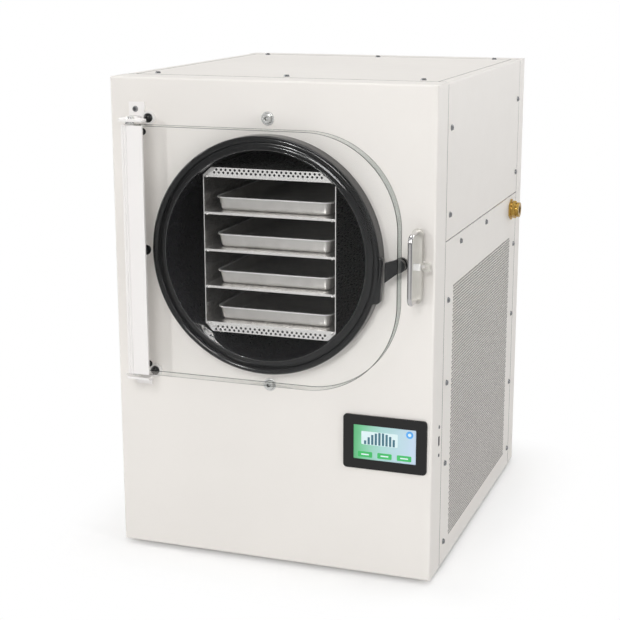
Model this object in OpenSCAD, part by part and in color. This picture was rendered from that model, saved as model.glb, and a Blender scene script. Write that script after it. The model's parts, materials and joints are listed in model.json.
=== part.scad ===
// Home freeze dryer: sheet cabinet, round vacuum chamber with a clear swinging door, a rack of trays,
// and the refrigeration, vacuum and control pieces that it holds. Millimetres, +Z up.
// The origin is on the floor, at the centre of the whole machine's footprint.
// Every module draws in the cabinet's own frame: x = 0 in the middle, y = 0 on the front panel's face,
// z = 0 at the cabinet's bottom edge. in_cabinet() moves that frame to the origin above.

/* [Cabinet] */
// Width of the cabinet
body_w = 457; // [440:1:500]
// Depth of the cabinet from front face to rear face
body_d = 537; // [515:1:600]
// Height of the cabinet above its bottom edge
body_h = 666; // [650:1:720]
// Thickness of the cabinet sheet
sheet_t = 1.2; // [0.8:0.1:1.6]
// Outside radius of the sheet bends
bend_r = 3; // [2:0.5:5]
// Gap at each seam between panels
seam = 0.6; // [0.3:0.1:1.2]
// Depth of the front panel's folded sides
front_return = 51; // [40:1:54]
// Depth of the rear panel's folded sides
rear_return = 37; // [25:1:39]
// Depth of the seam between the upper and lower side panels below the cabinet's top
side_seam_drop = 208; // [196:1:211]
// Width of the side panels' folded top flange
side_flange = 14; // [8:1:20]

/* [Feet] */
// Height of the cabinet's bottom edge above the floor
foot_h = 6; // [4:1:20]
// Radius of a foot at the floor
foot_r = 13; // [9:1:18]
// Distance of a foot's centre from the cabinet's sides
foot_inset_x = 45; // [30:1:80]
// Distance of a foot's centre from the cabinet's front and rear
foot_inset_y = 78; // [70:1:110]

/* [Frame] */
// Thickness of the frame's steel
frame_t = 2; // [1.5:0.5:3]
// Depth of a corner post, along the cabinet's side
post_d = 84; // [78:1:90]
// Width of a post's inner stiffening flange
post_flange = 14; // [8:1:18]
// Height of the middle side rail
rail_h = 40; // [34:1:50]
// Thickness of the base pan
base_t = 1.5; // [1:0.1:2.5]
// Height of the base pan's front and rear lips
base_lip = 18; // [10:1:25]

/* [Grilles] */
// Front edge of a grille field, from the front face
grille_y0 = 95; // [90:1:120]
// Rear margin of a grille field, from the rear face
grille_back = 74; // [70:1:110]
// Lower edge of a grille field
grille_z0 = 28; // [20:1:60]
// Depth of a grille field's upper edge below the side seam
grille_top = 63; // [48:1:158]
// Distance between rows of a grille
grille_pitch = 6.4; // [6.4:0.2:10]
// Height of a grille slot
grille_slot = 3.2; // [2:0.2:4]
// Width of the rib between the two columns of slots
grille_rib = 8; // [5:1:20]

/* [Panel screws] */
// Radius of a screw shank
screw_r = 1.9; // [1.5:0.1:2.5]
// Radius of a pan head
head_r = 4.2; // [3.5:0.1:5.5]
// Height of a pan head
head_h = 2.4; // [1.5:0.1:3.5]
// Length of a screw shank
screw_len = 6; // [5:0.5:9]
// Radial clearance of a screw in its hole
screw_fit = 0.2; // [0.1:0.05:0.5]
// Distance of the front row of screws from the front face
screw_y0 = 70; // [60:1:74]
// Distance of the rear row of screws from the rear face
screw_back = 49; // [45:1:60]
// Distance of the top and rear screws from the cabinet's sides
screw_side = 38.5; // [34:0.5:60]
// Distance of the outer rear screws from the cabinet's top and bottom
screw_rear_z = 40; // [25:1:60]
// Height of the lowest side screws
screw_low_z = 31; // [24:1:50]
// Depth of the highest lower side screws below the seam
screw_low_top = 82; // [60:1:120]
// Height of the first side screws above the seam
screw_seam_up = 33.5; // [15:0.5:50]
// Depth of the seam screws below the seam
screw_seam_down = 13; // [9:0.5:18]
// Distance of the seam screws from the front row
screw_seam_y = 64; // [40:1:80]
// Distance between the seam screws
screw_seam_pitch = 154; // [120:1:180]
// Depth of the highest side screws below the cabinet's top
screw_high_z = 60; // [40:1:80]

/* [Chamber] */
// Depth of the chamber's axis below the cabinet's top
chamber_drop = 229.5; // [226:0.5:236]
// Inside radius of the drum
drum_r = 141; // [140:0.5:142]
// Wall of the drum
drum_t = 3; // [2:0.5:4]
// Length of the drum from the front face to its end plate's back
drum_back = 398; // [390:1:410]
// Distance of the drum's lip in front of the panel
drum_front = 18; // [16:0.5:20]
// Width of the drum's turned lip
drum_lip = 8; // [5:0.5:9]
// Radial clearance of the drum in the front panel
drum_gap = 1; // [0.5:0.1:2]
// Radius of the evaporator tube
coil_tube_r = 4; // [3:0.5:5]
// Number of turns of the evaporator tube
coil_turns = 9; // [5:1:12]
// Thickness of the foam jacket
foam_t = 18; // [12:1:22]
// Radius of the two chamber bolt heads
chamber_bolt_r = 9; // [7:0.5:10]
// Height of the chamber bolts' heads
chamber_bolt_h = 5; // [4:0.5:7]
// Length of the chamber bolts' shanks
chamber_bolt_l = 14; // [10:1:20]
// Distance of the chamber bolts from the chamber's axis
chamber_bolt_pcr = 180.6; // [178:0.1:186]

/* [Gasket] */
// Outside radius of the door gasket
gasket_r = 160.5; // [159:0.5:162]
// Distance of the gasket's sealing bead in front of the panel
gasket_front = 25; // [24:0.5:27]
// Radius of the sealing bead
gasket_bead = 4.5; // [3.5:0.5:5]
// Thickness of the gasket's web over the drum lip
gasket_web = 2.8; // [2:0.2:3.2]
// Width of the gasket's pull tab
tab_w = 13; // [9:0.5:14]
// Lower end of the pull tab below the chamber's axis
tab_drop = 52; // [45:1:60]

/* [Door] */
// Thickness of the clear door
door_t = 19; // [16:0.5:25]
// Clearance between the gasket and the closed door
door_gap = 0.3; // [0.3:0.1:1]
// Distance of the door's right edge from the chamber's axis
door_right = 191; // [188:0.5:193]
// Half height of the door
door_half_h = 170; // [168:1:172]
// Radius of the door's two right corners
door_corner_r = 125; // [100:1:140]
// Distance of the hinge axis to the left of the chamber's axis
hinge_x = 182; // [181:0.5:183]
// Radius of the door's pivot pins
pivot_r = 3; // [2.5:0.1:4]
// Radial running clearance of the pivot pins
pivot_fit = 0.05; // [0.01:0.01:0.1]
// Depth of the pivot bores in the hinge bar
pivot_depth = 14; // [10:1:20]
// Distance from the hinge axis to the hinge bar's outer edge
bar_edge = 9; // [8:0.5:10]
// Distance from the hinge axis to the hinge bar's inner edge
bar_leaf = 22.5; // [21:0.5:24]
// Thickness of the hinge bar's leaf in front of the door
leaf_t = 3; // [2:0.5:4]
// Distance of the hinge bolts from the hinge axis
hinge_bolt_in = 13.2; // [12.8:0.1:14]
// Radius of the hinge bolts' heads behind the door
hinge_bolt_head_r = 7; // [6:0.5:7]
// Width of a hinge bracket's plate
bracket_w = 23; // [21:0.5:26]
// Height of a hinge bracket's plate beyond its ear
bracket_up = 22; // [18:1:28]
// Thickness of a hinge bracket
bracket_t = 3; // [2:0.5:4]
// Radius of the bracket's lobe round its black bolt
lobe_r = 9.2; // [8:0.2:9.4]
// Length of the black bolts' shanks
lobe_bolt_l = 12; // [8:1:16]
// Height of the black bolts' heads
lobe_bolt_h = 5; // [3:0.5:6]
// Thickness of the washer between the hinge bar and an ear
pivot_washer = 4.4; // [3:0.2:6]
// End play between the hinge bar and its washers
pivot_play = 0.3; // [0.3:0.1:0.8]

/* [Latch] */
// Distance of the latch handle from the chamber's axis
latch_x = 208.5; // [206:0.5:211]
// Height of the latch above the chamber's axis
latch_up = 1; // [0:0.5:4]
// Travel of the latch from released to closed
latch_travel = 10; // [9:0.5:10.5]
// Distance of the latch plate's back in front of the panel
latch_off = 13.9; // [13.7:0.1:14.1]
// Thickness of the latch plate
latch_t = 3; // [2.6:0.1:3.2]
// Width of the latch plate
latch_w = 14.4; // [13:0.2:15]
// Height of the latch plate
latch_h = 98; // [94:1:110]
// Height of the sliding tongue and its guide end
tongue_h = 18; // [16:0.5:20]
// Clearance of the latch plate round its guide
guide_gap = 0.3; // [0.3:0.05:0.5]
// Width of the guide's stem along the slide
stem_w = 6; // [5:0.5:7]
// Height of the guide's stem
stem_h = 4.4; // [3.6:0.2:5]
// Width and height of the guide's head
guide_head = 9; // [8:0.2:10]
// Thickness of the guide's head
guide_head_t = 4; // [3:0.5:5]
// Radius of the handle's rod
rod_r = 3; // [2.5:0.1:3.5]
// Distance from the handle's upper to its lower foot
rod_span = 88; // [80:1:90]
// Reach of the handle's rod in front of the latch plate
rod_reach = 33; // [28:1:40]
// Bend radius of the handle's rod
rod_bend = 9; // [7:0.5:12]
// Distance of the keeper's axis from the chamber's axis
keeper_x = 186; // [185:0.2:186.6]
// Radius of the keeper's discs
keeper_r = 9; // [8:0.2:9.4]
// Radius of the keeper's neck
keeper_neck = 4; // [3:0.2:4.6]
// Clearance of the latch plate in the keeper's groove
groove_gap = 1.2; // [0.8:0.1:1.8]
// Thickness of the keeper's rear disc
keeper_disc = 5; // [3:0.5:6]

/* [Rack and trays] */
// Outside width of the rack
rack_w = 188; // [180:1:188]
// Length of the rack
rack_l = 372; // [362:1:385]
// Thickness of the rack's sheet
rack_t = 1.2; // [0.8:0.1:1.6]
// Distance from one shelf to the next
shelf_pitch = 50.6; // [49:0.1:50.6]
// Height of the lowest shelf's top below the chamber's axis
shelf_drop = 99.2; // [97:0.1:100]
// Height of a shelf's folded front edge
shelf_hem = 2; // [1.5:0.5:5]
// Height of the guards above and below the rack
guard_h = 10; // [7:0.5:12]
// Clearance of the rack and guards inside the drum
rack_clear = 1; // [0.6:0.1:1.6]
// Number of openings in a row of a guard's front
guard_holes = 24; // [12:1:30]
// Radius of the openings in a guard's front
guard_hole_r = 1.6; // [1:0.1:1.8]
// Width of a tray across its rim
tray_w = 168; // [150:1:176]
// Width of a tray across its floor
tray_floor_w = 154; // [140:1:158]
// Length of a tray across its rim
tray_l = 352; // [300:1:356]
// Height of a tray
tray_h = 19; // [15:0.5:25]
// Thickness of a tray's metal
tray_t = 1; // [0.8:0.1:1.5]
// Width of a tray's flat rim
tray_rim = 3.5; // [2:0.5:5]
// Corner radius of a tray
tray_corner = 10; // [6:1:16]
// Distance of a tray's rim behind the rack's front
tray_in = 13; // [8:1:16]

/* [Display] */
// Distance of the display's middle from the cabinet's right side
display_in = 64.5; // [62.5:0.5:70]
// Height of the display's middle
display_z = 189; // [180:1:195]
// Width of the display's bezel
bezel_w = 116; // [110:1:118]
// Height of the display's bezel
bezel_h = 75; // [70:1:80]
// Corner radius of the bezel
bezel_r = 5; // [3:0.5:8]
// Thickness of the bezel in front of the panel
bezel_t = 3; // [2:0.5:5]
// Width of the screen
screen_w = 87; // [80:1:95]
// Height of the screen
screen_h = 48; // [44:1:56]
// Thickness of the screen glass
glass_t = 1.6; // [1:0.1:2]
// Depth of the display's housing behind the panel
housing_d = 22; // [15:1:26]
// Wall of the display's housing
housing_t = 2; // [1.5:0.5:3]

/* [Electronics] */
// Width and height of the control board
board_w = 80; // [60:1:84]
// Distance between the display's housing and the control board
board_gap = 10; // [6:1:14]
// Distance of the board's middle to the left of the display's middle
board_left = 12; // [4:1:20]
// Width of the power supply's case
supply_w = 100; // [80:1:104]
// Length of the power supply's case
supply_l = 120; // [100:1:130]
// Height of the power supply's case
supply_h = 48; // [40:1:60]
// Distance of the power supply from the cabinet's left side
supply_in = 23.5; // [20:0.5:40]
// Distance of the power supply from the front face
supply_y = 110; // [90:1:120]
// Distance between the power supply's vent slots
supply_pitch = 15; // [12:1:16]

/* [Data socket] */
// Distance of the data socket from the front face
usb_y = 36; // [30:0.5:40]
// Height of the data socket
usb_z = 188.5; // [160:0.5:220]
// Width of the data socket's mouth
usb_d = 5; // [4.6:0.1:8]
// Height of the data socket's mouth
usb_h = 13; // [12:0.5:18]
// Distance of the socket's screws from its middle
usb_screw_up = 20; // [14:0.5:24]

/* [Service parts] */
// Distance of the vacuum fitting from the rear face
vacuum_back = 77; // [72:1:90]
// Depth of the vacuum fitting's axis below the side seam
vacuum_drop = 22; // [21:1:30]
// Bore radius of the vacuum fitting
vacuum_bore = 6; // [4:0.5:7]
// Reach of the vacuum fitting outside the cabinet
vacuum_reach = 15; // [12:0.5:17]
// Width across flats of the vacuum fitting's hexagon
vacuum_hex = 24; // [21:0.5:25]
// Outside radius of the vacuum pipe
pipe_r = 8; // [7.6:0.2:9.6]
// Distance of the vacuum pipe's end from the chamber's axis
pipe_x = 60; // [40:1:90]
// Bend radius of the vacuum pipe
pipe_bend = 20; // [14:1:26]
// Depth of the drain valve's axis below the foam jacket
drain_drop = 61.7; // [54:0.1:70]
// Distance of the drain valve from the front face
drain_y = 68; // [64:1:72]
// Bore radius of the drain pipe
drain_bore = 3; // [2:0.5:4]
// Distance of the compressor's axis from the cabinet's left side
comp_in = 158.5; // [150:0.5:165]
// Distance of the compressor's axis from the rear face
comp_back = 192; // [170:1:230]
// Radius of the compressor's shell
comp_r = 74; // [60:1:78]
// Height of the compressor's shell
comp_h = 130; // [100:1:140]
// Radius of the round edges of the compressor's shell
comp_edge = 20; // [12:1:24]
// Height of the compressor's rubber mounts
comp_mount_h = 12; // [8:1:16]
// Thickness of the compressor's mounting plate
comp_plate_t = 4; // [3:0.5:6]
// Length of the condenser along the cabinet's side
cond_l = 250; // [200:2:270]
// Height of the condenser
cond_h = 190; // [150:2:196]
// Depth of the condenser's fins
cond_d = 26; // [18:1:30]
// Number of condenser fins
fin_count = 26; // [16:1:40]
// Radius of the fan blades' tips
fan_r = 78; // [60:1:80]
// Clearance between the blade tips and the shroud
fan_gap = 3; // [2:0.5:5]
// Depth of the fan shroud behind its face
shroud_d = 30; // [26:1:32]
// Number of fan blades
fan_blades = 5; // [3:1:7]
// Radius of the fan's hub
hub_r = 22; // [18:1:26]
// Length of the fan's hub
hub_l = 26; // [22:1:30]
// Length of a blade along the shaft
blade_l = 20; // [14:1:22]
// Twist of a blade from its front to its rear edge
blade_twist = 28; // [10:1:40]
// Radius of the fan motor
motor_r = 30; // [24:1:36]
// Length of the fan motor
motor_l = 40; // [30:1:50]
// Radius of the fan motor's shaft
shaft_r = 3; // [2.5:0.1:4]
// Radial running clearance of the fan on its shaft
shaft_fit = 0.05; // [0.01:0.01:0.1]

/* [Rear] */
// Distance of the power inlet's middle from the cabinet's left side
inlet_in = 78.5; // [60:0.5:110]
// Height of the power inlet
inlet_z = 90; // [70:1:120]
// Width of the power inlet's flange
inlet_w = 62; // [60:1:70]
// Height of the power inlet's flange
inlet_h = 34; // [32:1:40]
// Width of the power rocker
rocker_w = 13.6; // [11:0.2:14]
// Height of the power rocker
rocker_h = 18.4; // [15:0.2:19]
// Distance of the rocker's face from its pivot
rocker_face = 6; // [5:0.5:7]
// Angle of the rocker to each side of its middle
rocker_tilt = 8; // [5:1:9]
// Radius of the rocker's axle
rocker_axle = 1.5; // [1:0.1:2]
// Radial running clearance of the rocker on its axle
rocker_fit = 0.05; // [0.01:0.01:0.1]
// Number of vent slots in the rear panel
vent_count = 10; // [4:1:14]
// Width of a vent slot
vent_w = 150; // [80:1:160]
// Height of a vent slot
vent_h = 6; // [4:0.5:8]
// Distance between vent slots
vent_pitch = 16; // [12:1:20]
// Distance of the vent slots from the cabinet's right side
vent_in = 168.5; // [120:0.5:180]
// Height of the lowest vent slot
vent_z = 60; // [40:1:80]

/* [Hidden] */
$fn = 64;

// Overlap of a cut past the face that it opens
eps = 0.5;
// Clearance between nested sheets that don't touch
nest = 0.4;

// Front face of the cabinet, so that the origin is midway between the handle and the power rocker
rod_y = -(latch_off + latch_t + rod_reach);
rocker_pivot = 2;
rocker_out = rocker_face * cos(rocker_tilt) + rocker_h / 2 * sin(rocker_tilt) - rocker_pivot;
front_y = -(body_d + rocker_out + rod_y - rod_r) / 2;
post_x = body_w / 2 - sheet_t - 0.2;
panel_y0 = front_return + seam;
panel_y1 = body_d - rear_return - seam;
screw_y1 = body_d - screw_back;
side_seam_z = body_h - side_seam_drop;
grille_z1 = side_seam_z - grille_top;
grille_y1 = body_d - grille_back;
high_rows = [side_seam_z + screw_seam_up, body_h - screw_high_z];
low_pitch = (side_seam_z - screw_low_top - screw_low_z) / 3;
low_rows = [for (i = [0:3]) screw_low_z + i * low_pitch];
upper_screws = [for (y = [screw_y0, screw_y1], z = high_rows) [y, z]];
lower_screws = concat(
  [for (y = [screw_y0, screw_y1], z = low_rows) [y, z]],
  [for (i = [0:1]) [screw_y0 + screw_seam_y + i * screw_seam_pitch, side_seam_z - screw_seam_down]]
);
top_screws = [for (s = [-1, 0, 1], y = [screw_y0, screw_y1]) [s * (body_w / 2 - screw_side), y]];

axis_z = body_h - chamber_drop;
drum_out = drum_r + drum_t;
coil_r = drum_out + coil_tube_r + 0.3;
foam_in = coil_r + coil_tube_r + 0.5;
drain_z = axis_z - foam_in - foam_t - drain_drop;
shelf_z = [for (i = [0:4]) axis_z - shelf_drop + i * shelf_pitch];

door_y = -(gasket_front + door_gap);
door_front = door_y - door_t;
hinge_y = door_y - door_t / 2;
door_z0 = axis_z - door_half_h;
door_z1 = axis_z + door_half_h;
bar_front = door_front - leaf_t - 0.2;
door_left = -hinge_x + bar_edge + nest;
bracket_x0 = -hinge_x - 17.6;
lobe_x = bracket_x0 + 28.6;
lobe_up = door_half_h + 6;
bolt_z = [for (k = [-1, 0, 1]) axis_z + k * (door_half_h - 10)];

latch_z = axis_z + latch_up;
latch_front = -(latch_off + latch_t);
stem_x = latch_x + 1;
tongue_tip = keeper_x + keeper_r + 1.5;
tongue_root = keeper_x + keeper_neck + nest + latch_travel;
slot_x0 = stem_x - stem_w / 2 - guide_gap;
slot_x1 = stem_x + stem_w / 2 + guide_gap + latch_travel;

usb_screws = [usb_z - usb_screw_up, usb_z + usb_screw_up];
usb_strap = 4;
display_x = body_w / 2 - display_in;
inlet_x = -body_w / 2 + inlet_in;
socket_x = 11;
switch_x = 14;
vacuum_in = 14;
vacuum_y = body_d - vacuum_back;
vacuum_z = side_seam_z - vacuum_drop;
floor_z = sheet_t + 0.2 + base_t;
cond_x = post_x - frame_t - post_flange - 4;
cond_y = body_d / 2;
cond_z0 = 30;
fan_x = cond_x - cond_d - 12;
fan_z = cond_z0 + cond_h / 2;

module in_cabinet() translate([0, front_y, foot_h]) children();

// Turns +Z to +Y, -Y, +X or -X at a point
module to_back(x, y, z) translate([x, y, z]) rotate([-90, 0, 0]) children();
module to_front(x, y, z) translate([x, y, z]) rotate([90, 0, 0]) children();
module to_right(x, y, z) translate([x, y, z]) rotate([0, 90, 0]) children();
module to_left(x, y, z) translate([x, y, z]) rotate([0, -90, 0]) children();

// Draws a profile of (x, z) along +Y, and one of (y, z) along +X
module extrude_y(y, len) translate([0, y + len, 0]) rotate([90, 0, 0]) linear_extrude(len) children();
module extrude_x(x, len) translate([x, 0, 0]) rotate([90, 0, 90]) linear_extrude(len) children();

module block(x0, x1, y0, y1, z0, z1) translate([x0, y0, z0]) cube([x1 - x0, y1 - y0, z1 - z0]);

module rounded_rect(w, h, r) {
  translate([r, 0]) square([w - 2 * r, h]);
  translate([0, r]) square([w, h - 2 * r]);
  for (x = [r, w - r], y = [r, h - r]) translate([x, y]) circle(r);
}

module centred_rect(x, y, w, h, r) translate([x - w / 2, y - h / 2]) rounded_rect(w, h, r);

// A block with rounded bends round its front face, which is at y = 0
module bent_block(w, d, h, r) intersection() {
  translate([-w / 2, 0, 0]) linear_extrude(h) rounded_rect(w, 2 * d, r);
  extrude_x(-w / 2, w) rounded_rect(2 * d, h, r);
  block(-w / 2, w / 2, 0, d, 0, h);
}

module sheet_pan(w, d, h, r, t) difference() {
  bent_block(w, d, h, r);
  translate([0, t, t]) bent_block(w - 2 * t, d, h - 2 * t, r - t);
}

// Pan-head screw: +Z goes into the panel, and the head stands at -Z
module pan_screw(len = screw_len) {
  cylinder(r = screw_r, h = len);
  difference() {
    translate([0, 0, -head_h]) cylinder(r1 = head_r * 0.72, r2 = head_r, h = head_h);
    for (a = [0, 90]) rotate(a) translate([-head_r * 0.5, -head_r * 0.11, -head_h - eps])
      cube([head_r, head_r * 0.22, eps + head_h * 0.45]);
  }
}

module screw_hole(len = 12) translate([0, 0, -len / 2]) cylinder(r = screw_r + screw_fit, h = len);

module on_right(points) for (p = points) to_left(body_w / 2, p[0], p[1]) children();
module on_left(points) for (p = points) to_right(-body_w / 2, p[0], p[1]) children();
module on_top(points) for (p = points) translate([p[0], p[1], body_h]) rotate([180, 0, 0]) children();
module on_rear() for (s = [-1, 1], z = [screw_rear_z, body_h / 2, body_h - screw_rear_z])
  to_front(s * (body_w / 2 - screw_side), body_d, z) children();

// ---- cabinet ----

module base_pan() color("gainsboro") in_cabinet() {
  x = body_w / 2 - bend_r - nest;
  y0 = bend_r + nest;
  y1 = body_d - bend_r - nest;
  z = sheet_t + 0.2;
  difference() {
    union() {
      block(-x, x, y0, y1, z, z + base_t);
      block(-x, x, y0, y0 + base_t, z, z + base_lip);
      block(-x, x, y1 - base_t, y1, z, z + base_lip);
    }
    on_rear() screw_hole();
  }
}

module frame() color("silver") in_cabinet() difference() {
  z0 = bend_r + nest;
  z1 = body_h - bend_r - nest;
  top = body_h - sheet_t - 0.2;
  // Each post's front, rear and stiffening flange along the side
  front_post = [bend_r + nest, post_d, post_d - frame_t];
  rear_post = [body_d - post_d, body_d - bend_r - nest, body_d - post_d];
  union() {
    for (s = [-1, 1]) scale([s, 1, 1]) {
      for (y = [front_post, rear_post]) {
        block(post_x - frame_t, post_x, y[0], y[1], z0, z1);
        block(post_x - post_flange, post_x, y[2], y[2] + frame_t, z0, z1);
      }
      block(post_x - frame_t, post_x, post_d - frame_t, body_d - post_d + frame_t,
        side_seam_z - rail_h * 0.6, side_seam_z + rail_h * 0.4);
    }
    x = body_w / 2 - bend_r - nest;
    block(-x, x, front_return + 4, post_d, z1 - nest, top);
    block(-x, x, body_d - post_d, body_d - rear_return - 4, z1 - nest, top);
  }
  on_right(upper_screws) screw_hole();
  on_left(upper_screws) screw_hole();
  on_right(lower_screws) screw_hole();
  on_left(lower_screws) screw_hole();
  on_top(top_screws) screw_hole();
  to_right(-body_w / 2 - eps, drain_y, drain_z) cylinder(r = 10, h = 12);
  to_right(post_x - post_flange - eps, vacuum_y, vacuum_z)
    cylinder(r = max(pipe_r, vacuum_bore + 3) + 1, h = post_flange + 2 * eps);
  block(post_x - frame_t - eps, post_x + eps, usb_y - usb_strap - 1, usb_y + usb_strap + 1,
    usb_z - usb_screw_up - 4, usb_z + usb_screw_up + 4);
}

module front_panel() color([0.9, 0.89, 0.87]) in_cabinet() difference() {
  sheet_pan(body_w, front_return, body_h, bend_r, sheet_t);
  to_back(0, -eps, axis_z) cylinder(r = drum_out + drum_gap, h = 4);
  for (s = [-1, 1]) to_back(0, -eps, axis_z + s * chamber_bolt_pcr)
    cylinder(r = chamber_bolt_r * 0.5 + 0.5, h = 4);
  extrude_y(-eps, 4) centred_rect(display_x, display_z, bezel_w - 12, bezel_h - 12, bezel_r);
  bracket_holes();
  to_back(stem_x, -eps, latch_z) cylinder(r = screw_r + screw_fit, h = 4);
  translate([body_w / 2 - 4, usb_y - usb_d / 2 - 0.3, usb_z - usb_h / 2 - 0.3])
    cube([8, usb_d + 0.6, usb_h + 0.6]);
  for (z = usb_screws) to_left(body_w / 2, usb_y, z) cylinder(r = 1.4, h = 10, center = true);
}

module top_panel() color([0.93, 0.93, 0.93]) in_cabinet() difference() {
  x = body_w / 2 - side_flange - seam;
  block(-x, x, panel_y0, panel_y1, body_h - sheet_t, body_h);
  on_top(top_screws) screw_hole();
}

// Flat sheet with a folded flange along its top
module side_upper() difference() {
  x = body_w / 2;
  z0 = side_seam_z + seam / 2;
  extrude_y(panel_y0, panel_y1 - panel_y0) difference() {
    intersection() {
      translate([x - 2 * side_flange, z0 - 50]) rounded_rect(2 * side_flange, body_h - z0 + 50, bend_r);
      translate([x - side_flange, z0]) square([side_flange, body_h - z0]);
    }
    translate([x - sheet_t - 3 * side_flange, z0 - 60])
      rounded_rect(3 * side_flange, body_h - sheet_t - z0 + 60, bend_r - sheet_t);
  }
  on_right(upper_screws) screw_hole();
}

// Flat sheet with a field of slots in two columns
module side_lower() {
  x = body_w / 2;
  rows = floor((grille_z1 - grille_z0 - grille_slot) / grille_pitch);
  mid = (grille_y0 + grille_y1) / 2;
  difference() {
    block(x - sheet_t, x, panel_y0, panel_y1, 0, side_seam_z - seam / 2);
    for (i = [0:rows], y = [[grille_y0, mid - grille_rib / 2], [mid + grille_rib / 2, grille_y1]])
      block(x - sheet_t - eps, x + eps, y[0], y[1],
        grille_z0 + i * grille_pitch, grille_z0 + i * grille_pitch + grille_slot);
    on_right(lower_screws) screw_hole();
  }
}

module right_upper_panel() color([0.84, 0.84, 0.82]) in_cabinet() side_upper();
module left_upper_panel() color([0.84, 0.84, 0.82]) in_cabinet() mirror([1, 0, 0]) side_upper();

module right_lower_panel() color([0.83, 0.83, 0.8]) in_cabinet() difference() {
  side_lower();
  to_right(body_w / 2 - 5, vacuum_y, vacuum_z) cylinder(r = vacuum_bore + 3.2, h = 10);
}

module left_lower_panel() color([0.83, 0.83, 0.8]) in_cabinet() difference() {
  mirror([1, 0, 0]) side_lower();
  to_left(-body_w / 2 + 5, drain_y, drain_z) cylinder(r = drain_bore + 3.2, h = 10);
}

module rear_panel() color([0.85, 0.85, 0.83]) in_cabinet() difference() {
  translate([0, body_d, 0]) mirror([0, 1, 0]) sheet_pan(body_w, rear_return, body_h, bend_r, sheet_t);
  on_rear() screw_hole();
  extrude_y(body_d - 4, 8) centred_rect(inlet_x, inlet_z, inlet_w - 10, inlet_h - 6, 2);
  for (i = [0:vent_count - 1]) extrude_y(body_d - 4, 8)
    centred_rect(body_w / 2 - vent_in, vent_z + i * vent_pitch, vent_w, vent_h, vent_h * 0.48);
}

module foot() difference() {
  top = foot_h + sheet_t + 0.2;
  rotate_extrude() polygon([[0, 0], [foot_r, 0], [foot_r, 2], [foot_r * 0.8, top], [0, top]]);
  translate([0, 0, -eps]) cylinder(r = foot_r * 0.45, h = eps + foot_h * 0.5);
}

module feet() color("dimgray") in_cabinet()
  for (sx = [-1, 1], y = [foot_inset_y, body_d - foot_inset_y])
    translate([sx * (body_w / 2 - foot_inset_x), y, -foot_h]) foot();

module panel_screws() color("slategray") in_cabinet() {
  on_right(upper_screws) pan_screw();
  on_left(upper_screws) pan_screw();
  on_right(lower_screws) pan_screw();
  on_left(lower_screws) pan_screw();
  on_top(top_screws) pan_screw();
  on_rear() pan_screw();
}

// Data socket on the front panel's right fold, with its strap and two small screws
module usb_port() color("dimgray") in_cabinet() {
  x = body_w / 2;
  difference() {
    block(x - sheet_t - 1.4, x - sheet_t, usb_y - usb_strap, usb_y + usb_strap,
      usb_z - usb_screw_up - 3, usb_z + usb_screw_up + 3);
    block(x - 9, x, usb_y - usb_d / 2 + 0.4, usb_y + usb_d / 2 - 0.4,
      usb_z - usb_h / 2 + 0.4, usb_z + usb_h / 2 - 0.4);
  }
  difference() {
    block(x - 16, x + 0.4, usb_y - usb_d / 2, usb_y + usb_d / 2, usb_z - usb_h / 2, usb_z + usb_h / 2);
    block(x - 12, x + 1, usb_y - usb_d / 2 + 0.4, usb_y + usb_d / 2 - 0.4,
      usb_z - usb_h / 2 + 0.4, usb_z + usb_h / 2 - 0.4);
  }
  block(x - 13, x - 1, usb_y - 0.9, usb_y + 0.9, usb_z - usb_h / 2 + 0.2, usb_z + usb_h / 2 - 0.2);
  for (z = usb_screws) to_left(x, usb_y, z) {
    cylinder(r = 1.2, h = 4);
    translate([0, 0, -1]) cylinder(r1 = 1.8, r2 = 2.6, h = 1);
  }
}

// ---- chamber ----

module round_chamber() to_back(0, 0, axis_z) rotate_extrude() children();

module chamber_drum() color([0.12, 0.12, 0.12]) in_cabinet() difference() {
  round_chamber() polygon([
    [drum_r, -drum_front], [drum_out + drum_lip, -drum_front], [drum_out + drum_lip, -drum_front + drum_t],
    [drum_out, -drum_front + drum_t], [drum_out, drum_back], [0, drum_back],
    [0, drum_back - drum_t], [drum_r, drum_back - drum_t]
  ]);
  to_back(pipe_x, drum_back - drum_t - eps, vacuum_z) cylinder(r = pipe_r + 0.1, h = drum_t + 2 * eps);
  translate([0, drain_y, axis_z - drum_out - eps]) cylinder(r = drain_bore, h = drum_t + 2 * eps);
}

module foam_jacket() color([0.9, 0.85, 0.6]) in_cabinet() difference() {
  round_chamber() translate([foam_in, sheet_t + 6]) square([foam_t, drum_back - sheet_t - 10]);
  translate([0, drain_y, axis_z - foam_in - foam_t - 5]) cylinder(r = drain_bore + 3, h = foam_t + 20);
}

// Turns of tube round the drum, joined by two headers
module evaporator_coil() color("peru") in_cabinet() {
  y0 = drain_y + 26;
  step = (drum_back - 30 - y0) / (coil_turns - 1);
  for (i = [0:coil_turns - 1]) round_chamber() translate([coil_r, y0 + i * step]) circle(coil_tube_r);
  for (a = [60, 120]) translate([coil_r * cos(a), 0, axis_z + coil_r * sin(a)])
    to_back(0, y0, 0) cylinder(r = coil_tube_r * 0.8, h = step * (coil_turns - 1));
}

module door_gasket() color([0.08, 0.08, 0.08]) in_cabinet() difference() {
  union() {
    round_chamber() {
      web_y = -drum_front - 0.2 - gasket_web;
      bead_y = -gasket_front + gasket_bead;
      skirt_in = drum_out + drum_lip + 0.3;
      translate([drum_r, web_y]) square([gasket_r - gasket_bead - drum_r, gasket_web]);
      translate([gasket_r - gasket_bead, bead_y]) circle(gasket_bead);
      translate([drum_r + 1.5, web_y]) circle(1.5);
      translate([skirt_in, bead_y]) square([gasket_r - skirt_in, -bead_y - nest]);
    }
    pull_tab();
  }
  round_chamber() translate([drum_r - 1, -drum_front - 0.2])
    square([drum_out + drum_lip + 1.3 - drum_r, drum_front + 1]);
}

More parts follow.
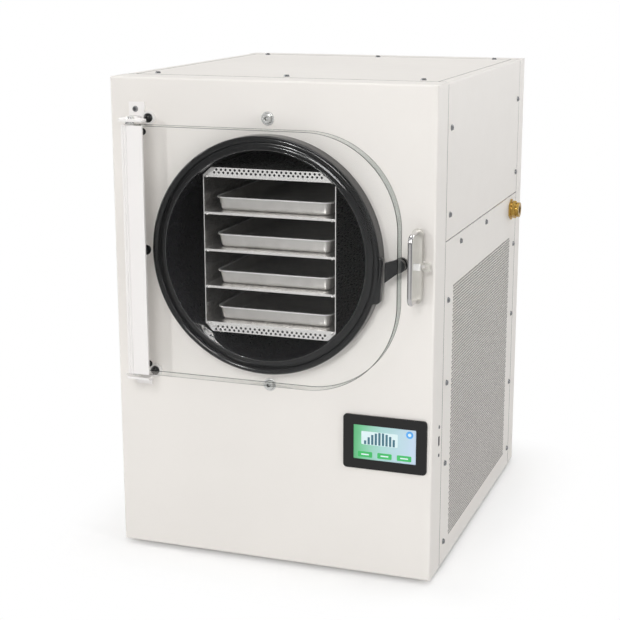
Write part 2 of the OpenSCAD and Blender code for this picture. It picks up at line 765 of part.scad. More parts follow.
// Strap on the gasket's right side that the user pulls to take it off
module pull_tab() {
  x1 = gasket_r + 3.5;
  extrude_y(-gasket_front + 3, gasket_front - 9) intersection() {
    translate([x1 - tab_w, axis_z - tab_drop]) rounded_rect(tab_w, tab_drop + 14, tab_w * 0.4);
    difference() {
      translate([x1 - tab_w - 1, axis_z - tab_drop - 1]) square([tab_w + 2, tab_drop + 5]);
      translate([0, axis_z]) circle(gasket_r - 2);
    }
  }
}

// Socket-headed bolts on washers
module chamber_bolts() color("silver") in_cabinet()
  for (s = [-1, 1]) to_back(0, 0, axis_z + s * chamber_bolt_pcr) {
    washer_t = chamber_bolt_h * 0.3;
    translate([0, 0, -washer_t]) cylinder(r = chamber_bolt_r, h = washer_t);
    translate([0, 0, -washer_t - chamber_bolt_h]) difference() {
      cylinder(r1 = chamber_bolt_r * 0.62, r2 = chamber_bolt_r * 0.7, h = chamber_bolt_h);
      translate([0, 0, -eps])
        cylinder(r = chamber_bolt_r * 0.36, h = chamber_bolt_h * 0.7 + eps, $fn = 6);
    }
    cylinder(r = chamber_bolt_r * 0.5, h = chamber_bolt_l);
  }

// ---- rack and trays ----

function chord(dz, clear) = sqrt(pow(drum_r - clear, 2) - dz * dz);

module rack_side() {
  z0 = shelf_z[0] - rack_t - shelf_hem;
  block(rack_w / 2 - rack_t, rack_w / 2, 0, rack_l, z0, shelf_z[4]);
}

module rack_side_right() color("silver") in_cabinet() rack_side();
module rack_side_left() color("silver") in_cabinet() mirror([1, 0, 0]) rack_side();

module shelf(i) in_cabinet() {
  x = rack_w / 2 - rack_t;
  z = shelf_z[i];
  block(-x, x, 0, rack_l, z - rack_t, z);
  block(-x, x, 0, rack_t, z - rack_t - shelf_hem, z);
  block(-x, x, rack_l - rack_t, rack_l, z - rack_t - shelf_hem, z);
}

module shelf_1() color("silver") shelf(0);
module shelf_2() color("silver") shelf(1);
module shelf_3() color("silver") shelf(2);
module shelf_4() color("silver") shelf(3);
module shelf_5() color("silver") shelf(4);

// Folded channel with sloped ends: z0 is the edge on the rack and z1 its flat, both from the axis
module guard(z0, z1) {
  up = z1 > z0 ? 1 : -1;
  x0 = min(rack_w / 2, chord(z0, rack_clear)) - 1;
  x1 = chord(z1, rack_clear);
  slope = rack_t * 1.4;
  edge = [[-x0, z0], [-x1, z1], [x1, z1], [x0, z0]];
  inside = [
    [x0 - slope, z0], [x1 - slope / 2, z1 - up * rack_t],
    [-x1 + slope / 2, z1 - up * rack_t], [-x0 + slope, z0]
  ];
  pitch = (2 * x1 - 6) / guard_holes;
  translate([0, 0, axis_z]) {
    extrude_y(0, rack_l) polygon(concat(edge, inside));
    difference() {
      extrude_y(0, rack_t) polygon(edge);
      for (row = [-1, 1], i = [0:guard_holes - 1])
        to_back((i + 0.5 + row / 4 - guard_holes / 2) * pitch, -eps, (z0 + z1) / 2 + row * guard_h * 0.2)
          cylinder(r = guard_hole_r, h = rack_t + 2 * eps, $fn = 24);
    }
  }
}

module top_guard() color("gainsboro") in_cabinet()
  guard(shelf_z[4] - axis_z, shelf_z[4] - axis_z + guard_h);

module bottom_guard() color("gainsboro") in_cabinet()
  guard(shelf_z[0] - rack_t - shelf_hem - axis_z, shelf_z[0] - rack_t - shelf_hem - axis_z - guard_h);

// Rounded plate, for the ends of a tray's tapered sides
module tray_plate(w, l, r, z, t) for (x = [-w / 2 + r, w / 2 - r], y = [-l / 2 + r, l / 2 - r])
  translate([x, y, z]) cylinder(r = r, h = t, $fn = 32);

module tray(i) in_cabinet() translate([0, tray_in + tray_l / 2, shelf_z[i]]) {
  taper = (tray_w - 2 * tray_rim - tray_floor_w) / 2;
  top_w = tray_w - 2 * tray_rim;
  top_l = tray_l - 2 * tray_rim;
  floor_l = top_l - 2 * taper;
  floor_corner = tray_corner - 2;
  difference() {
    union() {
      hull() {
        tray_plate(tray_floor_w, floor_l, floor_corner, 0, 0.1);
        tray_plate(top_w, top_l, tray_corner, tray_h - 0.1, 0.1);
      }
      hull() tray_plate(tray_w, tray_l, tray_corner + tray_rim, tray_h - tray_t, tray_t);
    }
    hull() {
      tray_plate(tray_floor_w - 2 * tray_t, floor_l - 2 * tray_t, floor_corner - tray_t, tray_t, 0.1);
      tray_plate(top_w - 2 * tray_t, top_l - 2 * tray_t, tray_corner - tray_t, tray_h + 0.1, 0.1);
    }
  }
}

module tray_1() color("lightgray") tray(0);
module tray_2() color("lightgray") tray(1);
module tray_3() color("lightgray") tray(2);
module tray_4() color("lightgray") tray(3);

// ---- display and electronics ----

module display_bezel() color([0.05, 0.05, 0.05]) in_cabinet() difference() {
  inner_w = bezel_w - 14;
  inner_h = bezel_h - 14;
  union() {
    extrude_y(-bezel_t, bezel_t) centred_rect(display_x, display_z, bezel_w, bezel_h, bezel_r);
    extrude_y(0, housing_d) centred_rect(display_x, display_z, inner_w, inner_h, bezel_r);
  }
  extrude_y(-bezel_t - eps, bezel_t + housing_t + eps)
    centred_rect(display_x, display_z, screen_w, screen_h, 1);
  extrude_y(-bezel_t + 0.8, glass_t) centred_rect(display_x, display_z, screen_w + 4, screen_h + 4, 1);
  extrude_y(housing_t, housing_d - 2 * housing_t)
    centred_rect(display_x, display_z, inner_w - 2 * housing_t, inner_h - 2 * housing_t,
      bezel_r - housing_t);
}

module display_glass() color([0.6, 0.9, 0.8]) in_cabinet() extrude_y(-bezel_t + 0.85, glass_t - 0.1)
  centred_rect(display_x, display_z, screen_w + 3.8, screen_h + 3.8, 0.9);

module control_board() color("darkgreen") in_cabinet() {
  x = display_x - board_left;
  y = housing_d + board_gap;
  half = board_w / 2;
  block(x - half, x + half, y, y + 1.6, display_z - half, display_z + half);
  for (dx = [-1, 1], dz = [-1, 1])
    to_back(x + dx * (half - 6), housing_d, display_z + dz * (half - 6)) cylinder(r = 2.5, h = board_gap);
  for (k = [[-0.45, -0.25, 14], [0.2, 0.3, 10], [0.5, -0.55, 8], [-0.55, 0.55, 9]])
    block(x + k[0] * half, x + k[0] * half + k[2] * 1.6, y + 1.6, y + 1.6 + k[2] * 0.5,
      display_z + k[1] * half - k[2] / 2, display_z + k[1] * half + k[2] / 2);
}

module power_supply() color("silver") in_cabinet() {
  x = -body_w / 2 + supply_in;
  difference() {
    block(x, x + supply_w, supply_y, supply_y + supply_l, floor_z, floor_z + supply_h);
    for (i = [0:floor((supply_l - 12) / supply_pitch) - 1])
      block(x + 5, x + supply_w - 5, supply_y + 10 + i * supply_pitch, supply_y + 16 + i * supply_pitch,
        floor_z + supply_h - 2, floor_z + supply_h + eps);
  }
  for (i = [0:4]) translate([x + 10 + i * supply_w * 0.17, supply_y - 12, floor_z + 4])
    cube([10, 12, 16]);
}

// ---- refrigeration ----

// Welded steel shell with a seam band, on a plate with rubber mounts, and its terminal box
module compressor() color([0.15, 0.15, 0.16]) in_cabinet()
  translate([-body_w / 2 + comp_in, body_d - comp_back, floor_z]) {
    corner = comp_r - comp_edge;
    shell_z = comp_mount_h + comp_plate_t - 1;
    translate([0, 0, shell_z]) rotate_extrude() {
      square([corner, comp_h]);
      translate([0, comp_edge]) square([comp_r, comp_h - 2 * comp_edge]);
      for (z = [comp_edge, comp_h - comp_edge]) translate([corner, z]) intersection() {
        circle(comp_edge);
        translate([-corner / 2, -comp_edge]) square([comp_edge + corner / 2, 2 * comp_edge]);
      }
    }
    translate([0, 0, shell_z + comp_h / 2]) cylinder(r = comp_r + 3, h = 5);
    translate([0, 0, comp_mount_h]) linear_extrude(comp_plate_t)
      centred_rect(0, 0, 2 * comp_r + 12, 2 * comp_r + 12, 14);
    for (x = [-1, 1], y = [-1, 1]) translate([x * (comp_r - 7), y * (comp_r - 7), 0])
      cylinder(r1 = 12, r2 = 10, h = comp_mount_h);
    translate([comp_r - 10, -comp_r / 4, shell_z + comp_h * 0.3]) cube([32, comp_r / 2, comp_h * 0.35]);
  }

module condenser_coil() color("silver") in_cabinet() {
  step = cond_l / (fin_count - 1);
  fin_t = 1.2;
  tubes = 6;
  end = 8;
  for (i = [0:fin_count - 1])
    translate([cond_x - cond_d, cond_y - cond_l / 2 + i * step - fin_t / 2, cond_z0])
      cube([cond_d, fin_t, cond_h]);
  for (k = [0:tubes - 1])
    to_back(cond_x - cond_d / 2, cond_y - cond_l / 2 - end, cond_z0 + cond_h * (k + 0.5) / tubes)
      cylinder(r = 4, h = cond_l + 2 * end);
}

// Open box behind the condenser, with a round mouth for the fan and its rear corners cut away
module fan_shroud() color([0.1, 0.1, 0.1]) in_cabinet() difference() {
  half = cond_l / 2 + 5;
  corner = 40;
  x0 = fan_x - shroud_d;
  block(x0, cond_x - cond_d - 0.5, cond_y - half, cond_y + half, floor_z, cond_z0 + cond_h + 5);
  block(fan_x - 4, cond_x, cond_y - half + 2, cond_y + half - 2, cond_z0 - 6, cond_z0 + cond_h + 3);
  to_right(x0 - eps, cond_y, fan_z) cylinder(r = fan_r + fan_gap, h = shroud_d + 2 * eps);
  for (z = [-30, cond_h - 25], y = [-half - 1, half + 1 - corner])
    translate([x0 - 1, cond_y + y, cond_z0 + z]) cube([shroud_d - 8, corner, corner]);
}

// Motor with its shaft, on a bent floor bracket
module fan_motor() color("dimgray") in_cabinet() {
  x = fan_x - 40;
  wall = 5;
  half = motor_r * 0.8;
  to_right(x - motor_l, cond_y, fan_z) cylinder(r = motor_r, h = motor_l);
  to_right(x - 1, cond_y, fan_z) cylinder(r = shaft_r, h = hub_l + 12);
  block(x - motor_l / 2 - wall, x - motor_l / 2, cond_y - half, cond_y + half,
    floor_z, fan_z - motor_r * 0.3);
  block(x - motor_l - wall, x - motor_l / 2, cond_y - half, cond_y + half, floor_z, floor_z + 3);
}

module fan_rotor() color("black") in_cabinet() to_right(fan_x - 36, cond_y, fan_z) difference() {
  union() {
    cylinder(r = hub_r, h = hub_l);
    for (i = [0:fan_blades - 1]) rotate(i * 360 / fan_blades) translate([0, 0, (hub_l - blade_l) / 2])
      linear_extrude(height = blade_l, twist = -blade_twist, slices = 6, $fn = 8)
        translate([hub_r - 4, -1.2]) square([fan_r - hub_r + 2, 2.4]);
  }
  translate([0, 0, -eps]) cylinder(r = shaft_r + shaft_fit, h = hub_l + 2 * eps);
}

// ---- vacuum and drain ----

// Nut on the panel, hexagon, and grooved nozzle on one tube
module vacuum_fitting() color([0.7, 0.55, 0.2]) in_cabinet() difference() {
  x = body_w / 2;
  union() {
    to_right(x, vacuum_y, vacuum_z) {
      cylinder(r = vacuum_hex * 0.68, h = 3, $fn = 6);
      translate([0, 0, 3]) cylinder(r = vacuum_hex * 0.5, h = 1.5);
      translate([0, 0, 4.5]) cylinder(r = vacuum_hex / 2 / cos(30), h = 5, $fn = 6);
      translate([0, 0, 9.5]) cylinder(r = vacuum_hex * 0.43, h = 1.2);
      translate([0, 0, 10.7]) cylinder(r = vacuum_hex * 0.48, h = vacuum_reach - 10.7);
      translate([0, 0, -vacuum_in]) cylinder(r = vacuum_bore + 3, h = vacuum_in + 2);
    }
  }
  to_right(x - 20, vacuum_y, vacuum_z) cylinder(r = vacuum_bore, h = 60);
}

// Run from the fitting, round one bend and into the drum's end plate; over lengthens its two ends
module pipe_run(r, over = 0) {
  x1 = body_w / 2 - vacuum_in;
  x0 = pipe_x + pipe_bend;
  y1 = vacuum_y - pipe_bend;
  y0 = drum_back - drum_t;
  to_left(x1 + over, vacuum_y, vacuum_z) cylinder(r = r, h = x1 - x0 + over);
  to_front(pipe_x, y1, vacuum_z) cylinder(r = r, h = y1 - y0 + over);
  translate([x0, y1, vacuum_z]) rotate([0, 0, 90])
    rotate_extrude(angle = 90) translate([pipe_bend, 0]) circle(r);
}

module vacuum_pipe() color("peru") in_cabinet() difference() {
  pipe_run(pipe_r);
  pipe_run(pipe_r - 1.5, eps);
}

// Valve with a spout outside the left panel, and its pipe up to the lowest point of the drum
module drain_valve() color([0.75, 0.6, 0.25]) in_cabinet() {
  x = -body_w / 2;
  zt = axis_z - drum_out;
  elbow = 12;
  difference() {
    union() {
      to_left(x, drain_y, drain_z) cylinder(r = 8, h = 3, $fn = 6);
      to_left(x + 14, drain_y, drain_z) cylinder(r = drain_bore + 3, h = 28);
      translate([x - 7.5, drain_y, drain_z]) cylinder(r = 4.4, h = 9);
      translate([x - 10, drain_y, drain_z]) rotate([180, 0, 0]) cylinder(r1 = 5, r2 = 4, h = 16);
    }
    to_left(x + 20, drain_y, drain_z) cylinder(r = drain_bore, h = 30);
    translate([x - 10, drain_y, drain_z - 20]) cylinder(r = drain_bore - 0.5, h = 20);
    translate([x - 7.5, drain_y, drain_z + 6.5]) cylinder(r = 2.05, h = 10);
  }
  difference() {
    union() {
      to_right(x + 14, drain_y, drain_z) cylinder(r = drain_bore + 1.5, h = -x - 14 - elbow);
      translate([-elbow, drain_y, drain_z + elbow]) rotate([90, 0, 0]) rotate([0, 0, -90])
        rotate_extrude(angle = 90) translate([elbow, 0]) circle(drain_bore + 1.5);
      translate([0, drain_y, drain_z + elbow]) cylinder(r = drain_bore + 1.5, h = zt - drain_z - elbow);
    }
    translate([0, drain_y, drain_z + elbow]) cylinder(r = drain_bore, h = zt - drain_z);
  }
}

// T-handle that turns in the drain valve's stem
module drain_tap() color("steelblue") in_cabinet() translate([-body_w / 2 - 7.5, drain_y, drain_z]) {
  translate([0, 0, 6.8]) cylinder(r = 2, h = 5);
  translate([0, 0, 9.4]) cylinder(r = 4, h = 3);
  translate([0, -6.2, 11]) rotate([-90, 0, 0]) cylinder(r = 1.8, h = 12.4);
}

// ---- mains ----

// Flanged inlet: a socket with three blades at its left, and the rocker's well at its right
module power_inlet() color([0.1, 0.1, 0.1]) in_cabinet() {
  difference() {
    union() {
      extrude_y(body_d, 2.5) centred_rect(inlet_x, inlet_z, inlet_w, inlet_h, 3);
      extrude_y(body_d - 28, 28) centred_rect(inlet_x, inlet_z, inlet_w - 11, inlet_h - 7, 1.8);
    }
    extrude_y(body_d - 16, 30) centred_rect(inlet_x - socket_x, inlet_z, 24.5, 17, 3);
    extrude_y(body_d - 12, 30) centred_rect(inlet_x + switch_x, inlet_z, rocker_w + 1, rocker_h + 2.2, 0.6);
  }
  for (p = [[-7, -2], [0, 2], [7, -2]])
    translate([inlet_x - socket_x + p[0] - 1, body_d - 17, inlet_z + p[1] - 2]) cube([2, 10, 4]);
  to_right(inlet_x + switch_x - rocker_w / 2 - 1.5, body_d - rocker_pivot, inlet_z)
    cylinder(r = rocker_axle, h = rocker_w + 3);
}

// Two-sided rocker, at rest in its off position
module power_rocker() color("darkred") in_cabinet()
  translate([inlet_x + switch_x, body_d - rocker_pivot, inlet_z]) rotate([-rocker_tilt, 0, 0])
  extrude_x(-rocker_w / 2, rocker_w) difference() {
    polygon([
      [-5, -rocker_h / 2], [rocker_face, -rocker_h / 2], [rocker_face - 1.4, 0],
      [rocker_face, rocker_h / 2], [-5, rocker_h / 2]
    ]);
    circle(rocker_axle + rocker_fit);
  }

// ---- hinge ----

module bracket_holes() for (s = [-1, 1]) {
  to_back(bracket_x0 + 9.6, 0, axis_z + s * (door_half_h + 17.2)) screw_hole();
  to_back(lobe_x, 0, axis_z + s * lobe_up) translate([0, 0, -6]) cylinder(r = 3.2, h = 12);
}

// Plate on the panel with an ear that carries the door's pivot
module hinge_bracket() {
  z0 = door_z1 + pivot_play + pivot_washer;
  x1 = bracket_x0 + bracket_w;
  far = bar_front;
  difference() {
    union() {
      block(bracket_x0, x1, -bracket_t, 0, z0, z0 + bracket_up);
      to_front(lobe_x, 0, axis_z + lobe_up) cylinder(r = lobe_r, h = bracket_t);
      translate([0, 0, z0]) linear_extrude(bracket_t)
        polygon([[bracket_x0, 0], [bracket_x0, far + 12], [-hinge_x - bar_edge, far],
          [-hinge_x + bar_leaf, far], [-hinge_x + bar_leaf, far + 14], [x1 - 6, far + 33], [x1 - 6, 0]]);
    }
    bracket_holes();
    translate([-hinge_x, hinge_y, z0 - eps]) cylinder(r = pivot_r + 0.1, h = bracket_t + 2 * eps);
  }
}

module mirror_door() translate([0, 0, axis_z]) mirror([0, 0, 1]) translate([0, 0, -axis_z]) children();

module hinge_bracket_top() color("whitesmoke") in_cabinet() hinge_bracket();
module hinge_bracket_bottom() color("whitesmoke") in_cabinet() mirror_door() hinge_bracket();

module pivot() {
  z0 = door_z1 + pivot_play;
  translate([-hinge_x, hinge_y, 0]) {
    translate([0, 0, z0]) cylinder(r = 7, h = pivot_washer);
    translate([0, 0, door_z1 - pivot_depth + 2])
      cylinder(r = pivot_r, h = pivot_depth + pivot_washer + bracket_t + 1);
    translate([0, 0, z0 + pivot_washer + bracket_t]) cylinder(r1 = 6, r2 = 4.6, h = 3);
  }
}

module hinge_pivots() color("silver") in_cabinet() {
  pivot();
  mirror_door() pivot();
}

// Button-headed bolts through the brackets' lobes, with a hexagon socket
module bracket_bolts() color([0.05, 0.05, 0.05]) in_cabinet() for (s = [-1, 1])
  to_back(lobe_x, -bracket_t, axis_z + s * lobe_up) {
    cylinder(r = lobe_r * 0.33, h = lobe_bolt_l);
    translate([0, 0, -lobe_bolt_h]) difference() {
      intersection() {
        cylinder(r = lobe_r * 0.68, h = lobe_bolt_h);
        translate([0, 0, lobe_r * 0.78]) sphere(r = lobe_r * 0.825);
      }
      translate([0, 0, -eps]) cylinder(r = lobe_r * 0.24, h = lobe_bolt_h / 2 + eps, $fn = 6);
    }
  }

module bracket_screws() color("slategray") in_cabinet() for (s = [-1, 1])
  to_back(bracket_x0 + 9.6, -bracket_t, axis_z + s * (door_half_h + 17.2)) pan_screw(9);

// ---- door ----

module door_outline() {
  x = door_right - door_corner_r;
  translate([door_left, axis_z - door_half_h]) square([x - door_left, 2 * door_half_h]);
  translate([x, axis_z - door_half_h + door_corner_r])
    square([door_corner_r, 2 * (door_half_h - door_corner_r)]);
  for (s = [-1, 1]) translate([x, axis_z + s * (door_half_h - door_corner_r)]) circle(door_corner_r);
}

module door_plate() color([0.8, 0.9, 0.88, 0.35]) in_cabinet() difference() {
  extrude_y(door_front, door_t) door_outline();
  for (z = bolt_z) to_back(-hinge_x + hinge_bolt_in, door_front - eps, z)
    cylinder(r = 3.2, h = door_t + 2 * eps);
}

// Fluted bar along the door's left edge, with a leaf over the door's face and a bore at each end
module hinge_bar() color("white") in_cabinet() difference() {
  h = 2 * door_half_h;
  translate([0, 0, door_z0]) union() {
    linear_extrude(h) difference() {
      translate([-hinge_x - bar_edge, bar_front]) rounded_rect(2 * bar_edge, door_y - bar_front, 3);
      for (dx = [-3.6, 0, 3.6]) translate([-hinge_x + dx - 1, bar_front - 0.4]) circle(1.1);
    }
    translate([-hinge_x, bar_front, 0]) cube([bar_leaf, leaf_t, h]);
  }
  for (z = [door_z0 - eps, door_z1 - pivot_depth])
    translate([-hinge_x, hinge_y, z]) cylinder(r = pivot_r + pivot_fit, h = pivot_depth + eps);
  for (z = bolt_z) to_back(-hinge_x + hinge_bolt_in, bar_front + 0.6, z) cylinder(r = 3.1, h = leaf_t);
}

// Bolts from behind the door into the bar's leaf: a tall round head in the middle, low ones at the ends
module hinge_bolts() color([0.05, 0.05, 0.05]) in_cabinet() for (i = [0:2])
  translate([-hinge_x + hinge_bolt_in, 0, bolt_z[i]]) {
    head = i == 1 ? 5 : 1.6;
    r = i == 1 ? hinge_bolt_head_r : hinge_bolt_head_r * 0.65;
    to_back(0, bar_front + 0.8, 0) cylinder(r = 3, h = door_y - bar_front - 0.8);
    to_back(0, door_y, 0) cylinder(r1 = r, r2 = r * 0.75, h = head);
  }

// Moulded keeper on the back of the door: a tapered foot, and a disc that the latch slides behind
module keeper() color([0.07, 0.07, 0.07]) in_cabinet() {
  groove1 = latch_front - groove_gap;
  groove0 = -latch_off + groove_gap;
  extrude_y(door_y, groove1 - door_y) polygon([
    [keeper_x - 18, latch_z + 3], [keeper_x - 18, latch_z - 23], [keeper_x, latch_z - keeper_r],
    [keeper_x, latch_z + keeper_r]
  ]);
  to_back(keeper_x, door_y, latch_z) cylinder(r = keeper_r, h = groove1 - door_y);
  to_back(keeper_x, groove1 - eps, latch_z) cylinder(r = keeper_neck, h = groove0 - groove1 + 2 * eps);
  to_back(keeper_x, groove0, latch_z) cylinder(r = keeper_r, h = keeper_disc);
}

// ---- latch ----

module latch_guide() color("white") in_cabinet() difference() {
  head = latch_front - guide_gap;
  base = -latch_off + guide_gap;
  union() {
    translate([stem_x - guide_head / 2, head - guide_head_t, latch_z - guide_head / 2])
      cube([guide_head, guide_head_t, guide_head]);
    translate([stem_x - stem_w / 2, head - eps, latch_z - stem_h / 2])
      cube([stem_w, base - head + 2 * eps, stem_h]);
    translate([stem_x - guide_head / 2, base, latch_z - guide_head / 2])
      cube([guide_head, -base, guide_head]);
  }
  to_back(stem_x, -8, latch_z) cylinder(r = 1.5, h = 9);
}

// Sliding plate: an upright that carries the handle, a forked tongue on its left, a slot for the guide
module latch_plate() color([0.78, 0.78, 0.76]) in_cabinet() extrude_y(latch_front, latch_t) difference() {
  union() {
    centred_rect(latch_x, latch_z, latch_w, latch_h, latch_w * 0.45);
    translate([tongue_tip, latch_z - tongue_h / 2]) square([latch_x - tongue_tip, tongue_h]);
    translate([latch_x, latch_z - tongue_h * 0.3]) square([slot_x1 + 2.6 - latch_x, tongue_h * 0.6]);
  }
  translate([tongue_tip - 1, latch_z - keeper_neck - nest])
    square([tongue_root - tongue_tip + 1, 2 * (keeper_neck + nest)]);
  translate([slot_x0, latch_z - stem_h / 2 - guide_gap])
    square([slot_x1 - slot_x0, stem_h + 2 * guide_gap]);
  for (s = [-1, 1]) translate([latch_x, latch_z + s * rod_span / 2]) circle(rod_r * 0.7 + 0.1);
}

// Bent rod: two feet on the plate and an upright grip between them
module latch_handle() color("silver") in_cabinet() {
  zf = rod_span / 2;
  for (s = [-1, 1]) translate([latch_x, 0, latch_z]) scale([1, 1, s]) {
    to_front(0, latch_front, zf) cylinder(r = rod_r, h = rod_reach - rod_bend);
    to_front(0, latch_front + latch_t + 2, zf) cylinder(r = rod_r * 0.7, h = latch_t + 2 + eps);
    translate([0, rod_y + rod_bend, zf - rod_bend]) rotate([90, 0, -90])
      rotate_extrude(angle = 90) translate([rod_bend, 0]) circle(rod_r);
    translate([0, rod_y, 0]) cylinder(r = rod_r, h = zf - rod_bend);
  }
}

module latch_nuts() color("slategray") in_cabinet() for (s = [-1, 1])
  to_back(latch_x, -latch_off, latch_z + s * rod_span / 2) difference() {
    cylinder(r = rod_r * 1.6, h = 2.6, $fn = 6);
    translate([0, 0, -eps]) cylinder(r = rod_r * 0.7 + 0.05, h = 5);
  }

base_pan();
frame();
front_panel();
top_panel();
right_upper_panel();
right_lower_panel();
left_upper_panel();
left_lower_panel();
rear_panel();
feet();
panel_screws();
usb_port();
chamber_drum();
foam_jacket();
evaporator_coil();
door_gasket();
chamber_bolts();
rack_side_left();
rack_side_right();
shelf_1();
shelf_2();
shelf_3();
shelf_4();
shelf_5();
top_guard();
bottom_guard();
tray_1();
tray_2();
tray_3();
tray_4();
display_bezel();
display_glass();
control_board();
power_supply();
compressor();
condenser_coil();
fan_shroud();
fan_motor();
vacuum_fitting();
vacuum_pipe();
drain_valve();
power_inlet();
hinge_bracket_top();
hinge_bracket_bottom();
hinge_pivots();
bracket_screws();
bracket_bolts();
latch_guide();
door_plate();
hinge_bar();
hinge_bolts();
keeper();
latch_plate();
latch_handle();
latch_nuts();
fan_rotor();
power_rocker();
drain_tap();
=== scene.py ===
"""Looks of a home freeze dryer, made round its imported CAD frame. Lengths are in metres unless a name says mm."""

import json
import math

import bmesh
import bpy
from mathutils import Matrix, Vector

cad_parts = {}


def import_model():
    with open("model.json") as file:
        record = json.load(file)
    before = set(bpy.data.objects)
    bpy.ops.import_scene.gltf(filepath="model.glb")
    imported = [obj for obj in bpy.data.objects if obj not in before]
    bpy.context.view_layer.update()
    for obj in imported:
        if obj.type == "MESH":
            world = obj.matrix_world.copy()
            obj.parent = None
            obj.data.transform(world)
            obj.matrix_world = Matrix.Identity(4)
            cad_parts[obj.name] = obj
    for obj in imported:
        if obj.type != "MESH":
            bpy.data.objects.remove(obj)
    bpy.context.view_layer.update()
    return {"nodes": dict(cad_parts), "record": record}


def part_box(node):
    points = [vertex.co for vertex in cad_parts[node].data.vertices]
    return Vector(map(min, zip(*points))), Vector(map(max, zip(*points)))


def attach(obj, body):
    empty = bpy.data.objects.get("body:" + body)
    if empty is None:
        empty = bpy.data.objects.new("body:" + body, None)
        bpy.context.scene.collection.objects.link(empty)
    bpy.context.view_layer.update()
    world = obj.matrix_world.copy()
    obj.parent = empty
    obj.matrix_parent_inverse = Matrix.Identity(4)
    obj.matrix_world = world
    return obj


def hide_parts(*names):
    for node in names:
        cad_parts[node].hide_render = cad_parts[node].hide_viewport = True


MM = 0.001
NOISE_MIDDLE = (0.3, 0.7)  # the range that a noise's values mostly fill
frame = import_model()


# ---------------------------------------------------------------- colours and shader parts


def linear(r, g, b):
    """A colour given as 0 to 255 display values, as the linear values that a shader takes."""
    return tuple((v / 255 / 12.92) if v <= 10 else ((v / 255 + 0.055) / 1.055) ** 2.4 for v in (r, g, b))


